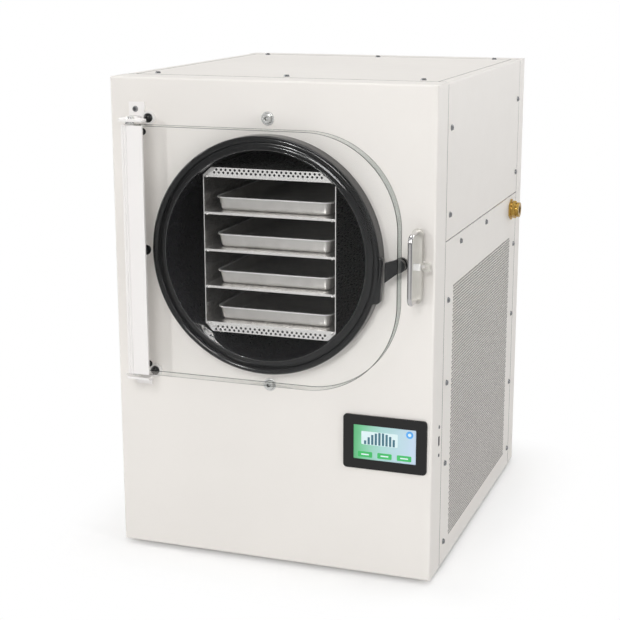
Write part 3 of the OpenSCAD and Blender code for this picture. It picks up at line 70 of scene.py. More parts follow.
class Look:
    """One procedural material: a Principled shader and the nodes that feed it."""

    def __init__(self, name, color, roughness, **inputs):
        self.material = bpy.data.materials.new(name)
        self.material.use_nodes = True
        self.nodes = self.material.node_tree.nodes
        self.links = self.material.node_tree.links
        self.shader = self.nodes["Principled BSDF"]
        self.color = color
        self.roughness = roughness
        self.set("Base Color", (*color, 1))
        self.set("Roughness", roughness)
        for key, value in inputs.items():
            self.set(key.replace("_", " "), value)
        self.normal = None

    def set(self, socket, value):
        self.shader.inputs[socket].default_value = value

    def node(self, kind, **settings):
        made = self.nodes.new("ShaderNode" + kind)
        for key, value in settings.items():
            setattr(made, key, value)
        return made

    def noise(self, per_metre, detail=3.0, stretch=(1, 1, 1)):
        """Noise with about per_metre features in a metre, drawn out along an axis by a stretch below 1."""
        coords = self.node("TexCoord")
        mapping = self.node("Mapping")
        mapping.inputs["Scale"].default_value = [per_metre * s for s in stretch]
        texture = self.node("TexNoise")
        texture.inputs["Scale"].default_value = 1
        texture.inputs["Detail"].default_value = detail
        self.links.new(coords.outputs["Object"], mapping.inputs["Vector"])
        self.links.new(mapping.outputs["Vector"], texture.inputs["Vector"])
        return texture.outputs["Fac"]

    def mapped(self, value, start, end, low, high, **settings):
        """Maps start..end of a value to low..high."""
        change = self.node("MapRange", **settings)
        for key, number in (("From Min", start), ("From Max", end), ("To Min", low), ("To Max", high)):
            change.inputs[key].default_value = number
        self.links.new(value, change.inputs["Value"])
        return change.outputs["Result"]

    def blend(self, factor, first, second, **settings):
        """Mixes two colours, each a socket or plain numbers."""
        made = self.node("Mix", data_type="RGBA", **settings)
        for socket, value in ((made.inputs["Factor"], factor), (made.inputs[6], first), (made.inputs[7], second)):
            if isinstance(value, (int, float)):
                socket.default_value = value
            elif isinstance(value, tuple):
                socket.default_value = (*value, 1)
            else:
                self.links.new(value, socket)
        return made.outputs[2]

    def mixed(self, factor, first, second):
        """Mixes two shaders."""
        made = self.node("MixShader")
        for socket, value in zip(made.inputs, (factor, first, second)):
            self.links.new(value, socket)
        return made.outputs[0]

    def surface(self, shader):
        """Makes a shader the material's surface in place of the Principled one."""
        self.links.new(shader, self.nodes["Material Output"].inputs["Surface"])

    def tint(self, value, spread):
        """Varies the colour by a share of itself."""
        ramp = self.node("ValToRGB")
        for element, place, sign in zip(ramp.color_ramp.elements, NOISE_MIDDLE, (-1, 1)):
            element.position = place
            element.color = (*(min(1, c * (1 + sign * spread)) for c in self.color), 1)
        self.links.new(value, ramp.inputs["Fac"])
        self.links.new(ramp.outputs["Color"], self.shader.inputs["Base Color"])
        return self

    def rough(self, value, spread):
        """Varies the roughness up and down by spread."""
        low, high = max(0, self.roughness - spread), min(1, self.roughness + spread)
        self.links.new(self.mapped(value, *NOISE_MIDDLE, low, high), self.shader.inputs["Roughness"])
        return self

    def bump(self, value, depth, strength):
        """Raises the surface by a value, up to depth metres, on top of any soft edge."""
        made = self.node("Bump")
        made.inputs["Distance"].default_value = depth
        made.inputs["Strength"].default_value = strength
        self.links.new(value, made.inputs["Height"])
        if self.normal:
            self.links.new(self.normal, made.inputs["Normal"])
        self.normal = made.outputs["Normal"]
        self.links.new(self.normal, self.shader.inputs["Normal"])
        return self

    def join(self, operation, a, b):
        """Joins two values, each a socket or a number, by an operation of the Math node."""
        made = self.node("Math", operation=operation)
        for socket, value in zip(made.inputs, (a, b)):
            if isinstance(value, (int, float)):
                socket.default_value = value
            else:
                self.links.new(value, socket)
        return made.outputs[0]

    def facing(self, axis, edge, face, start=0.6, end=None):
        """A number that is face where the surface looks along an axis and edge elsewhere."""
        coords = self.node("TexCoord")
        split = self.node("SeparateXYZ")
        self.links.new(coords.outputs["Normal"], split.inputs[0])
        size = self.join("ABSOLUTE", split.outputs[axis], 0)
        return self.mapped(size, start, end or start + 0.1, edge, face)

    def painted_recess_shade(self, reach, dark):
        """Paints shade into the colour in narrow hollows, such as a screw's recess: an occlusion node darkens it
        where shade would fall.
        """
        hidden = self.node("AmbientOcclusion", samples=6, only_local=True)
        hidden.inputs["Distance"].default_value = reach
        shade = self.mapped(hidden.outputs["AO"], 0.35, 0.8, dark, 1)
        socket = self.shader.inputs["Base Color"]
        plain = socket.links[0].from_socket
        self.links.new(self.blend(1, plain, shade, blend_type="MULTIPLY"), socket)
        return self

    def soft_edges(self, radius):
        """Catches light on sharp edges, as a broken edge does."""
        made = self.node("Bevel", samples=4)
        made.inputs["Radius"].default_value = radius
        self.normal = made.outputs["Normal"]
        self.links.new(self.normal, self.shader.inputs["Normal"])
        return self


# ---------------------------------------------------------------- materials


def powder_coat(name, color):
    """Satin powder coat: a fine orange peel and a faint large-scale unevenness."""
    look = Look(name, color, 0.48, IOR=1.5)
    look.soft_edges(0.35 * MM)
    look.tint(look.noise(7, 2), 0.012)
    look.rough(look.noise(40, 3), 0.05)
    look.bump(look.noise(900, 2), 0.02 * MM, 0.5)
    return look


def coat_with_hole_shade(name, color, edge):
    """The same coat on a perforated sheet; its punched hole walls take a dark grey, painted shade for the shadow
    inside the holes.
    """
    look = powder_coat(name, color)
    socket = look.shader.inputs["Base Color"]
    look.links.new(look.blend(look.facing("X", 0, 1), edge, socket.links[0].from_socket), socket)
    return look


def metal(name, color, roughness, grain=(1, 1, 1), scratches=0.01, per_metre=2500):
    """Metal with a grain: the smallest stretch is the direction of the brushing."""
    look = Look(name, color, roughness, Metallic=1.0)
    look.soft_edges(0.25 * MM)
    fibre = look.noise(per_metre, 4, grain)
    look.tint(look.noise(60, 3), 0.05)
    look.rough(fibre, roughness * 0.35)
    look.bump(fibre, scratches * MM, 0.6)
    return look


def plastic(name, color, roughness, texture=0.015, per_metre=2200):
    """Moulded plastic with a fine spark-eroded texture."""
    look = Look(name, color, roughness, IOR=1.48)
    look.soft_edges(0.3 * MM)
    look.tint(look.noise(90, 3), 0.04)
    look.rough(look.noise(250, 3), 0.05)
    look.bump(look.noise(per_metre, 2), texture * MM, 0.6)
    return look


def rubber(name, color, roughness):
    """Moulded rubber with a slight unevenness."""
    look = Look(name, color, roughness, IOR=1.5)
    look.tint(look.noise(60, 3), 0.12)
    look.rough(look.noise(90, 4), roughness * 0.3)
    look.bump(look.noise(220, 3), 0.008 * MM, 0.3)
    return look


def clear_sheet(name, color):
    """Polished acrylic. Its large faces pass light straight through under a faint gloss, its sawn edges are
    a pale green, darker on the upright edges as painted shade, and the broken corners between them are dark lines of
    painted shade. Shadows pass almost whole."""
    look = Look(name, color, 0.3, IOR=1.49)
    look.tint(look.noise(6, 2), 0.004)
    look.rough(look.noise(80, 3), 0.05)
    look.bump(look.noise(700, 2), 0.02 * MM, 0.4)
    face = look.facing("Y", 0, 1, 0.85)
    rim = look.join("SUBTRACT", look.facing("Y", 0, 1, 0.35), face)
    upright = look.facing("X", 0, 1, 0.1, 0.75)
    path = look.node("LightPath")
    unseen = look.join("MAXIMUM", path.outputs["Is Shadow Ray"], path.outputs["Is Diffuse Ray"])
    seen = look.join("SUBTRACT", 1, unseen)
    # The upright sawn edges are darker than the top and bottom ones, and the broken corners are dark: painted shade
    # over the edge's own pale green.
    sawn_tint_and_shade = look.blend(upright, (0.95, 0.96, 0.95), (0.52, 0.56, 0.54))
    corner_shade = look.blend(upright, (0.36, 0.38, 0.37), (0, 0, 0))
    shade = look.blend(rim, sawn_tint_and_shade, corner_shade)
    shade = look.blend(face, shade, (0.998, 1, 0.999))
    shade = look.blend(look.join("MULTIPLY", unseen, 0.85), shade, (1, 1, 1))
    clear = look.node("BsdfTransparent")
    look.links.new(shade, clear.inputs["Color"])
    gloss = look.node("BsdfAnisotropic")
    gloss.inputs["Roughness"].default_value = 0.06
    fresnel = look.node("Fresnel")
    fresnel.inputs["IOR"].default_value = 1.49
    share = look.join("MULTIPLY", look.join("MULTIPLY", fresnel.outputs[0], seen), 0.3)
    sheen = look.mixed(share, clear.outputs[0], gloss.outputs[0])
    edge = look.join("MULTIPLY", look.join("SUBTRACT", 1, look.join("MAXIMUM", face, rim)), upright)
    milky = look.join("MULTIPLY", edge, look.join("MULTIPLY", seen, 0.1))
    look.surface(look.mixed(milky, sheen, look.shader.outputs[0]))
    return look


def lit_screen(name):
    """A lit display under glass: a plain gradient from green at the left to a pale tint at the right."""
    look = Look(name, linear(150, 205, 175), 0.12, IOR=1.5)
    coords = look.node("TexCoord")
    split = look.node("SeparateXYZ")
    look.links.new(coords.outputs["Generated"], split.inputs[0])
    ramp = look.node("ValToRGB")
    stops = ((0.0, (70, 160, 96)), (0.2, (112, 186, 140)), (0.5, (160, 200, 196)), (1.0, (184, 202, 220)))
    while len(ramp.color_ramp.elements) < len(stops):
        ramp.color_ramp.elements.new(0.5)
    for element, (place, shade) in zip(ramp.color_ramp.elements, stops):
        element.position = place
        element.color = (*linear(*shade), 1)
    wave = look.noise(30, 2)
    add = look.node("Math", operation="MULTIPLY_ADD")
    add.inputs[1].default_value = 0.12
    look.links.new(wave, add.inputs[0])
    look.links.new(split.outputs["X"], add.inputs[2])
    look.links.new(add.outputs[0], ramp.inputs["Fac"])
    look.links.new(ramp.outputs["Color"], look.shader.inputs["Base Color"])
    look.links.new(ramp.outputs["Color"], look.shader.inputs["Emission Color"])
    look.set("Emission Strength", 0.2)
    return look


def glowing(name, color, strength=0.2):
    """A field of colour on the lit display."""
    look = Look(name, color, 0.25, IOR=1.5)
    look.tint(look.noise(160, 2), 0.03)
    look.set("Emission Color", (*color, 1))
    look.set("Emission Strength", strength)
    return look


ALONG_Y = (1, 0.03, 1)
ALONG_X = (0.03, 1, 1)
ALONG_Z = (1, 1, 0.03)

PAINT = linear(233, 229, 224)

LOOKS = {
    "cabinet_paint": powder_coat("cabinet_paint", PAINT),
    # painted shade in the hinge bar's grooves and hollows
    "hinge_paint": powder_coat("hinge_paint", linear(240, 237, 235)).painted_recess_shade(2.5 * MM, 0.5),
    "zinc_steel": metal("zinc_steel", linear(150, 152, 155), 0.32),
    "socket_metal": metal("socket_metal", linear(120, 120, 122), 0.4),
    # painted shade in the bolts' sockets
    "bolt_steel": metal("bolt_steel", linear(232, 232, 230), 0.24).painted_recess_shade(3 * MM, 0.02),
    "latch_metal": metal("latch_metal", linear(212, 209, 202), 0.5, ALONG_Z),
    "rack_steel": metal("rack_steel", linear(240, 238, 236), 0.3, ALONG_Y),
    "tray_steel": metal("tray_steel", linear(214, 212, 209), 0.46, ALONG_X, 0.012),
    "fin_metal": metal("fin_metal", linear(190, 190, 190), 0.4, ALONG_Z),
    "chrome": metal("chrome", linear(214, 212, 212), 0.08, scratches=0.001),
    "brass": metal("brass", linear(196, 160, 84), 0.24, scratches=0.008),
    "copper": metal("copper", linear(200, 120, 84), 0.3),
    "black_enamel": plastic("black_enamel", linear(32, 32, 34), 0.25, 0.004, 300),
    "blackened_steel": plastic("blackened_steel", linear(12, 12, 13), 0.2),
    "bezel_plastic": plastic("bezel_plastic", linear(6, 5, 5), 0.42),
    "black_nylon": plastic("black_nylon", linear(14, 14, 15), 0.34),
    "compressor_paint": plastic("compressor_paint", linear(24, 24, 26), 0.38),
    "fan_plastic": plastic("fan_plastic", linear(22, 22, 23), 0.5),
    "guide_nylon": plastic("guide_nylon", linear(236, 235, 232), 0.35),
    "rocker_plastic": plastic("rocker_plastic", linear(150, 24, 22), 0.3),
    "tap_plastic": plastic("tap_plastic", linear(36, 84, 150), 0.35),
    "board": plastic("board", linear(24, 84, 48), 0.4),
    "foam": plastic("foam", linear(214, 202, 160), 0.85, 0.2, 500),
    "gasket_rubber": rubber("gasket_rubber", linear(7, 7, 8), 0.12),
    "foot_rubber": rubber("foot_rubber", linear(30, 30, 31), 0.7),
    "screen_glass": lit_screen("screen_glass"),
    "clear_acrylic": clear_sheet("clear_acrylic", (0.985, 0.996, 0.991)),
}
# the coat whose hole walls are painted dark grey as painted shade
HOLE_SHADED_COAT = coat_with_hole_shade("coat_with_hole_shade", PAINT, linear(105, 103, 102))
# the screws get painted shade in their recesses
SCREW = metal("screw_steel", linear(150, 151, 153), 0.24, scratches=0.006).painted_recess_shade(2 * MM, 0.02)
LIP = rubber("gasket_lip", linear(9, 9, 10), 0.06)
LIP.set("Coat Weight", 1)
LIP.set("Coat Roughness", 0.05)
# A lighter copy of the tray steel for the rolled rims: a painted highlight.
RIM_HIGHLIGHT = metal("tray_rim", linear(250, 249, 248), 0.5, scratches=0.004)


def dress_cad():
    """Gives every CAD node the look of its material slot, and the screws a darker steel."""
    slots = {part["node"]: part["material_slot"] for part in frame["record"]["subparts"]}
    for name, obj in frame["nodes"].items():
        look = SCREW if name in ("panel_screws", "bracket_screws") else LOOKS[slots[name]]
        obj.data.materials.clear()
        obj.data.materials.append(look.material)


# ---------------------------------------------------------------- mesh parts


def piece(name, bm, body, slot, replaces=(), look=None, crease=32):
    """Makes an object from bm that rides on a body and takes the look of a slot."""
    mesh = bpy.data.meshes.new(name)
    bm.to_mesh(mesh)
    bm.free()
    mesh.shade_smooth()
    mesh.set_sharp_from_angle(angle=math.radians(crease))
    obj = bpy.data.objects.new(name, mesh)
    bpy.context.scene.collection.objects.link(obj)
    mesh.materials.append((look or LOOKS[slot]).material)
    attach(obj, body)
    if replaces:
        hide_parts(*replaces)
    return obj


def repaint(obj, look, chosen):
    """Gives the faces whose middle is chosen a second look."""
    obj.data.materials.append(look.material)
    for face in obj.data.polygons:
        if chosen(face.center):
            face.material_index = 1


def arc(cx, cy, r, start, end, steps):
    """Points on a circle from start to end degrees, both included."""
    turns = [math.radians(start + (end - start) * i / steps) for i in range(steps + 1)]
    return [(cx + r * math.cos(t), cy + r * math.sin(t)) for t in turns]


def rounded_outline(w, h, r, steps=10):
    """A rounded rectangle round the origin, counterclockwise."""
    x, y = w / 2 - r, h / 2 - r
    corners = ((x, y, 0), (-x, y, 90), (-x, -y, 180), (x, -y, 270))
    return [p for cx, cy, a in corners for p in arc(cx, cy, r, a, a + 90, steps)]


def skin(bm, rings, cap_first=True, cap_last=True):
    """Joins closed rings of equally many points with quads."""
    made = [[bm.verts.new(p) for p in ring] for ring in rings]
    count = len(rings[0])
    for a, b in zip(made, made[1:]):
        for i in range(count):
            j = (i + 1) % count
            bm.faces.new((a[i], a[j], b[j], b[i]))
    if cap_first:
        bm.faces.new(list(reversed(made[0])))
    if cap_last:
        bm.faces.new(made[-1])
    return made


def turned(bm, profile, centre, axis, steps=96, closed=False):
    """Turns a profile of (distance along the axis, radius) round an axis through centre."""
    axis = Vector(axis)
    side = axis.orthogonal().normalized()
    up = axis.cross(side)
    rings = []
    for i in range(steps):
        t = 2 * math.pi * i / steps
        out = side * math.cos(t) + up * math.sin(t)
        rings.append([bm.verts.new(Vector(centre) + axis * a + out * r) for a, r in profile])
    last = len(profile) if closed else len(profile) - 1
    for i in range(steps):
        a, b = rings[i], rings[(i + 1) % steps]
        for k in range(last):
            n = (k + 1) % len(profile)
            bm.faces.new((a[k], a[n], b[n], b[k]))
    bmesh.ops.remove_doubles(bm, verts=bm.verts[:], dist=1e-7)


# ---------------------------------------------------------------- perforated sheet


def perforated(name, outline, inside, pitch, hole, thickness, place, body, slot, replaces, look=None):
    """A sheet with staggered holes where inside(u, v) is true. place(u, v, depth) gives a point in space."""
    bm = bmesh.new()
    row = pitch * math.sqrt(3) / 2
    us, vs = [p[0] for p in outline], [p[1] for p in outline]
    corners = [(math.cos(math.radians(a)), math.sin(math.radians(a))) for a in range(30, 390, 60)]
    reach = hole / math.sqrt(3)
    holes = {}
    for j in range(int((max(vs) - min(vs)) / row)):
        for i in range(int((max(us) - min(us)) / pitch) + 1):
            u = min(us) + (i + 0.5 * (j % 2)) * pitch
            v = min(vs) + (j + 0.5) * row
            if inside(u, v):
                holes[i, j] = [bm.verts.new(place(u + reach * c, v + reach * s, 0)) for c, s in corners]
    for (i, j), a in holes.items():
        right = holes.get((i + 1, j))
        up_right = holes.get((i + j % 2, j + 1))
        up_left = holes.get((i - 1 + j % 2, j + 1))
        if right:
            bm.faces.new((a[5], right[3], right[2], a[0]))
        if up_right:
            bm.faces.new((a[0], up_right[4], up_right[3], a[1]))
        if up_left:
            bm.faces.new((a[1], up_left[5], up_left[4], a[2]))
        if right and up_right:
            bm.faces.new((a[0], right[2], up_right[4]))
        if up_right and up_left:
            bm.faces.new((a[1], up_right[3], up_left[5]))
    rim = [bm.verts.new(place(u, v, 0)) for u, v in outline]
    open_edges = [bm.edges.new((rim[k - 1], rim[k])) for k in range(len(rim))]
    sides = []
    for ring in holes.values():
        for k in range(6):
            pair = (ring[k - 1], ring[k])
            edge = bm.edges.get(pair)
            if edge is None:
                edge = bm.edges.new(pair)
                open_edges.append(edge)
            sides.append(edge)
    hole_edges = set(sides)
    open_edges += [e for e in bm.edges if len(e.link_faces) == 1 and e not in hole_edges]
    sides += open_edges[: len(rim)]
    bmesh.ops.triangle_fill(bm, use_beauty=True, edges=open_edges)
    back = {}
    for edge in sides:
        a, b = edge.verts
        for v in (a, b):
            if v not in back:
                back[v] = bm.verts.new(v.co + Vector(place(0, 0, thickness)) - Vector(place(0, 0, 0)))
        bm.faces.new((a, b, back[b], back[a]))
    bmesh.ops.recalc_face_normals(bm, faces=bm.faces[:])
    return piece(name, bm, body, slot, replaces, look, crease=20)


def side_sheets():
    """Both lower side sheets, with fine round perforation in place of the CAD slots."""
    margin = {"front": 43.4 * MM, "back": 36.4 * MM, "bottom": 28 * MM, "top": 62.7 * MM}
    pitch, hole, thickness = 4.76 * MM, 3.1 * MM, 0.9 * MM
    for side, node in ((1, "right_lower_panel"), (-1, "left_lower_panel")):
        lo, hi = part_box(node)
        face = hi.x if side > 0 else lo.x
        outline = [(lo.y, lo.z), (hi.y, lo.z), (hi.y, hi.z), (lo.y, hi.z)]

        def inside(u, v, lo=lo, hi=hi):
            across = lo.y + margin["front"] + pitch / 2 < u < hi.y - margin["back"] - pitch / 2
            return across and lo.z + margin["bottom"] + pitch / 2 < v < hi.z - margin["top"] - pitch / 2

        def place(u, v, depth, face=face, side=side):
            return (face - side * depth, u, v)

        name = "right_grille_sheet" if side > 0 else "left_grille_sheet"
        perforated(name, outline, inside, pitch, hole, thickness, place, "cabinet", "cabinet_paint", [node], HOLE_SHADED_COAT)


def seam_shade_strips():
    """Thin dark strips in the seams between the cabinet's sheets, put there as painted shade for the shadowed seam
    gaps.
    """
    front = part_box("front_panel")[1]
    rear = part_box("rear_panel")[0]
    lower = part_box("right_lower_panel")
    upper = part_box("right_upper_panel")
    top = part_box("top_panel")
    seam_z = (lower[1].z + upper[0].z) / 2
    half, proud, deep = 0.75 * MM, 0.12 * MM, 0.5 * MM
    y0, y1 = (front.y + lower[0].y) / 2, (lower[1].y + rear.y) / 2
    side_flange = 14 * MM
    x_side, x_top = upper[1].x, (top[1].x + upper[1].x - side_flange) / 2
    z0, z1 = lower[0].z + 2 * MM, top[1].z
    bm = bmesh.new()

    def bead(start, end, out, across):
        """A strip with a rounded outer face, from start to end."""
        out, across = Vector(out), Vector(across)
        section = [(-half, -deep), (-half, 0), (-half * 0.5, proud)]
        section += [(-a, b) for a, b in reversed(section)]
        rings = [[Vector(p) + across * a + out * b for a, b in section] for p in (start, end)]
        skin(bm, rings)

    for side in (1, -1):
        x, out = side * x_side, (side, 0, 0)
        for y in (y0, y1):
            bead((x, y, z0), (x, y, z1 - 3 * MM), out, (0, 1, 0))
        bead((x, y0, seam_z), (x, y1, seam_z), out, (0, 0, 1))
        bead((side * x_top, y0, z1), (side * x_top, y1, z1), (0, 0, 1), (1, 0, 0))
    for y in (y0, y1):
        bead((-x_side + 3 * MM, y, z1), (x_side - 3 * MM, y, z1), (0, 0, 1), (0, 1, 0))
    bmesh.ops.recalc_face_normals(bm, faces=bm.faces[:])
    piece("seam_shade_strips", bm, "cabinet", "gasket_rubber")


# ---------------------------------------------------------------- door


def door_sheet():
    """The clear door with polished, slightly broken edges."""
    lo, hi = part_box("door_plate")
    corner, broken = 125 * MM, 0.8 * MM

    def ring(y, d):
        left, right, low, high = lo.x + d, hi.x - d, lo.z + d, hi.z - d
        r = corner - d
        points = [(left, high), (left, low)]
        points += arc(right - r, low + r, r, -90, 0, 40)
        points += arc(right - r, high - r, r, 0, 90, 40)
        return [(x, y, z) for x, z in points]

    bm = bmesh.new()
    rings = [ring(lo.y, broken), ring(lo.y + broken, 0), ring(hi.y - broken, 0), ring(hi.y, broken)]
    skin(bm, rings)
    bmesh.ops.recalc_face_normals(bm, faces=bm.faces[:])
    piece("door_sheet", bm, "door", "clear_acrylic", ["door_plate"], crease=20)


# ---------------------------------------------------------------- gasket


def gasket():
    """The moulded ring over the drum's lip, with its bead, its valley and its thin inner lip, and its pull tab."""
    lo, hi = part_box("door_gasket")
    drum_lo, drum_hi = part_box("chamber_drum")
    centre_z = (drum_lo.z + drum_hi.z) / 2
    outer = -lo.x
    inner = 141 * MM
    seat = drum_lo.y
    bead, lip_r, fit = 4.6 * MM, 1.3 * MM, 0.3 * MM
    top = lo.y
    y = top + bead
    profile = [(hi.y, outer), (y + 5 * MM, outer)]
    profile += [(y - up, outer - bead + out) for out, up in arc(0, 0, bead, 0, 150, 15)]
    profile += [(y + up * MM, outer - inward * MM) for up, inward in ((0.5, 9.6), (0.4, 11), (-0.3, 12.4))]
    profile += [(y - up * MM, inner + out * MM) for up, out in ((0.7, 6), (0.6, 4.2), (0.5, 2.6))]
    profile += [(y - 0.3 * MM - up, inner + lip_r + out) for out, up in arc(0, 0, lip_r, 20, 180, 8)]
    profile += [(seat - 0.3 * MM, inner), (seat - 0.2 * MM, inner + 0.4 * MM)]
    profile += [(seat - 0.2 * MM, drum_hi.x + fit), (hi.y, drum_hi.x + fit)]
    bm = bmesh.new()
    turned(bm, profile, (0, 0, centre_z), (0, 1, 0), 192, closed=True)
    bmesh.ops.recalc_face_normals(bm, faces=bm.faces[:])
    ring = piece("gasket_ring", bm, "cabinet", "gasket_rubber", ["door_gasket"], crease=40)
    repaint(ring, LIP, lambda middle: math.hypot(middle.x, middle.z - centre_z) < inner + 2 * lip_r)
    width, drop = 13 * MM, 52 * MM
    length = drop + 10 * MM
    points = rounded_outline(width, length, 4.5 * MM, 8)
    cx = hi.x - width / 2
    cz = centre_z - drop + length / 2
    bm = bmesh.new()
    rings = []
    for depth, inset in ((2.6, 1.4), (2.9, 0.6), (3.8, 0), (14, 0), (15, 0.8)):
        sx, sz = 1 - 2 * inset * MM / width, 1 - 2 * inset * MM / length
        rings.append([(cx + x * sx - curved(z), top + depth * MM, cz + z * sz) for x, z in points])
    skin(bm, rings)
    bmesh.ops.recalc_face_normals(bm, faces=bm.faces[:])
    piece("gasket_tab", bm, "cabinet", "gasket_rubber", crease=50)


def curved(z):
    """How far the tab follows the ring inwards at a height from its middle."""
    curvature = 4.2
    return max(0, -z) ** 2 * curvature


# ---------------------------------------------------------------- trays and rack


def trays():
    """Drawn trays: a fillet round the floor, sloped walls and a rolled rim."""
    for number in range(1, 5):
        node = f"tray_{number}"
        lo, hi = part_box(node)
        w, l, h = hi.x - lo.x, hi.y - lo.y, hi.z - lo.z
        cx, cy = (lo.x + hi.x) / 2, (lo.y + hi.y) / 2
        corner, wall, draft, fillet, start = 13.5 * MM, 3.5 * MM, 3.5 * MM, 5 * MM, 6 * MM

        def ring(inset, z):
            r = max(corner - inset, 2 * MM)
            return [(cx + x, cy + y, lo.z + z) for x, y in rounded_outline(w - 2 * inset, l - 2 * inset, r)]

        def slope(z):
            """Inset of the wall's inner face at a height."""
            return wall + (h - z) / h * draft

        inner = [(slope(h), h - 0.25 * MM), (slope(h) + 0.35 * MM, h - 1 * MM), (slope(start), start)]
        inner += [(slope(start) + fillet - out, start - down) for out, down in arc(0, 0, fillet, 18, 90, 4)]
        outer = [(i - 0.9 * MM * (1 - 0.2 * (z < 2 * MM)), max(0, z - 0.95 * MM * (z < start))) for i, z in inner[2:]]
        roll = [(1.6, 0), (0.5, 0.15), (0, 0.8), (0.1, 1.7), (0.7, 2.1), (1.2, 1.6), (1.3, 1.05), (2.6, 1.05)]
        roll = [(out * MM, h - down * MM) for out, down in roll]
        bm = bmesh.new()
        rings = [ring(*p) for p in reversed(outer)] + [ring(*p) for p in reversed(roll)] + [ring(*p) for p in inner]
        skin(bm, rings)
        bmesh.ops.recalc_face_normals(bm, faces=bm.faces[:])
        tray = piece(f"drawn_tray_{number}", bm, "cabinet", "tray_steel", [node], crease=35)
        # The rim's top faces take the lighter steel as a painted highlight.
        repaint(tray, RIM_HIGHLIGHT, lambda middle, top=hi.z: middle.z > top - 2.2 * MM)


def rack_rivets():
    """Small domed rivets where each shelf meets the rack's sides."""
    bm = bmesh.new()
    for number in range(1, 6):
        lo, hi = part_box(f"shelf_{number}")
        for x in (lo.x + 4 * MM, hi.x - 4 * MM):
            turns = [math.radians(a) for a in (0, 20, 40, 60, 80, 90)]
            profile = [(-1.5 * MM * math.cos(t), 1.9 * MM * math.sin(t)) for t in turns]
            turned(bm, profile, (x, lo.y, hi.z - 2.6 * MM), (0, 1, 0), 20)
    bmesh.ops.recalc_face_normals(bm, faces=bm.faces[:])
    piece("rack_rivets", bm, "cabinet", "rack_steel", crease=60)


# ---------------------------------------------------------------- display


def display_fields():
    """Plain fields of colour on the lit display: three buttons, a round status field and a small chart."""
    lo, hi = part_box("display_glass")
    w, h = hi.x - lo.x, hi.z - lo.z
    green = glowing("screen_green", linear(64, 178, 98))
    blue = glowing("screen_blue", linear(78, 158, 224))
    pale = glowing("screen_pale", linear(206, 224, 226))
    dark = glowing("screen_dark", linear(70, 112, 128), 0.15)

    def plate(bm, u, v, pw, ph, r, level):
        """A field at the share u, v of the screen; its size is a share too, and it stands level mm proud."""
        cx, cz = lo.x + u * w, lo.z + v * h
        outline = rounded_outline(pw * w, ph * h, r, 6)
        near, far = lo.y - level * MM, lo.y
        skin(bm, [[(cx + x, y, cz + z) for x, z in outline] for y in (near, far)])

    def rise(i):
        """Half of how much taller bar i is than the first."""
        return 0.012 * i * (bars - i) / 2

    buttons, bars = (0.2, 0.5, 0.8), 9
    fields = {
        "screen_buttons": (green, [(u, 0.17, 0.22, 0.15, 1.2 * MM) for u in buttons], 0.2),
        "screen_status": (blue, [(0.88, 0.82, 0.11, 0.11 * w / h, 4.9 * MM)], 0.2),
        "screen_chart": (pale, [(0.42, 0.62, 0.56, 0.36, 1.5 * MM)], 0.15),
        "screen_marks": (dark, [(0.2 + 0.055 * i, 0.5 + rise(i), 0.035, 0.1 + 2 * rise(i), 0.3 * MM)
                                for i in range(bars)], 0.25),
        "screen_dot": (pale, [(0.88, 0.82, 0.05, 0.05 * w / h, 2.2 * MM)], 0.28),
        "screen_dashes": (pale, [(u, 0.17, 0.12, 0.035, 0.5 * MM) for u in buttons], 0.28),
    }
    for name, (look, plates, level) in fields.items():
        bm = bmesh.new()
        for plate_size in plates:
            plate(bm, *plate_size, level)
        bmesh.ops.recalc_face_normals(bm, faces=bm.faces[:])
        piece(name, bm, "cabinet", "screen_glass", look=look)


# ---------------------------------------------------------------- stage, light and camera


FLOOR_SIZE = 12
FLOOR_GLOW = 0.17
WHITE_BESIDE = 0.14  # how far past the cabinet's base the floor is plain white to the camera


def floor():
    """A pale floor that keeps the object's shadow beside its base and turns to the background's white
    further out. Mirrored rays see it bright in front of the machine and dimmer at its sides."""
    bm = bmesh.new()
    bmesh.ops.create_grid(bm, x_segments=1, y_segments=1, size=FLOOR_SIZE)
    mesh = bpy.data.meshes.new("floor")
    bm.to_mesh(mesh)
    bm.free()
    obj = bpy.data.objects.new("floor", mesh)
    bpy.context.scene.collection.objects.link(obj)
    obj.location.z = -0.2 * MM
    look = Look("floor_look", (0.86, 0.86, 0.86), 0.9)
    look.set("Emission Color", (1, 1, 1, 1))
    path = look.node("LightPath")
    coords = look.node("TexCoord")
    split = look.node("SeparateXYZ")
    look.links.new(coords.outputs["Object"], split.inputs[0])
    glow = look.join("MULTIPLY", path.outputs["Is Camera Ray"], FLOOR_GLOW)
    look.links.new(glow, look.shader.inputs["Emission Strength"])
    low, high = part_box("base_pan")
    beside = []
    for axis, letter in enumerate("XY"):
        off = look.join("SUBTRACT", split.outputs[letter], (low[axis] + high[axis]) / 2)
        past = look.join("SUBTRACT", look.join("ABSOLUTE", off, 0), (high[axis] - low[axis]) / 2)
        past = look.join("MAXIMUM", past, 0)
        beside.append(look.join("MULTIPLY", past, past))
    distance = look.join("SQRT", look.join("ADD", *beside), 0)
    spread = look.mapped(distance, 0, WHITE_BESIDE, 0, 1, interpolation_type="SMOOTHSTEP")
    white = look.node("Emission")
    far = look.join("MULTIPLY", path.outputs["Is Camera Ray"], spread)
    seen = look.mixed(far, look.shader.outputs[0], white.outputs[0])
    off = look.join("ABSOLUTE", look.join("SUBTRACT", split.outputs["X"], 0.45), 0)
    dim = look.node("Emission")
    strength = look.mapped(off, 0.9, 1.8, 0.7, 0.3, interpolation_type="SMOOTHSTEP")
    look.links.new(strength, dim.inputs["Strength"])
    look.surface(look.mixed(path.outputs["Is Glossy Ray"], seen, dim.outputs[0]))
    mesh.materials.append(look.material)


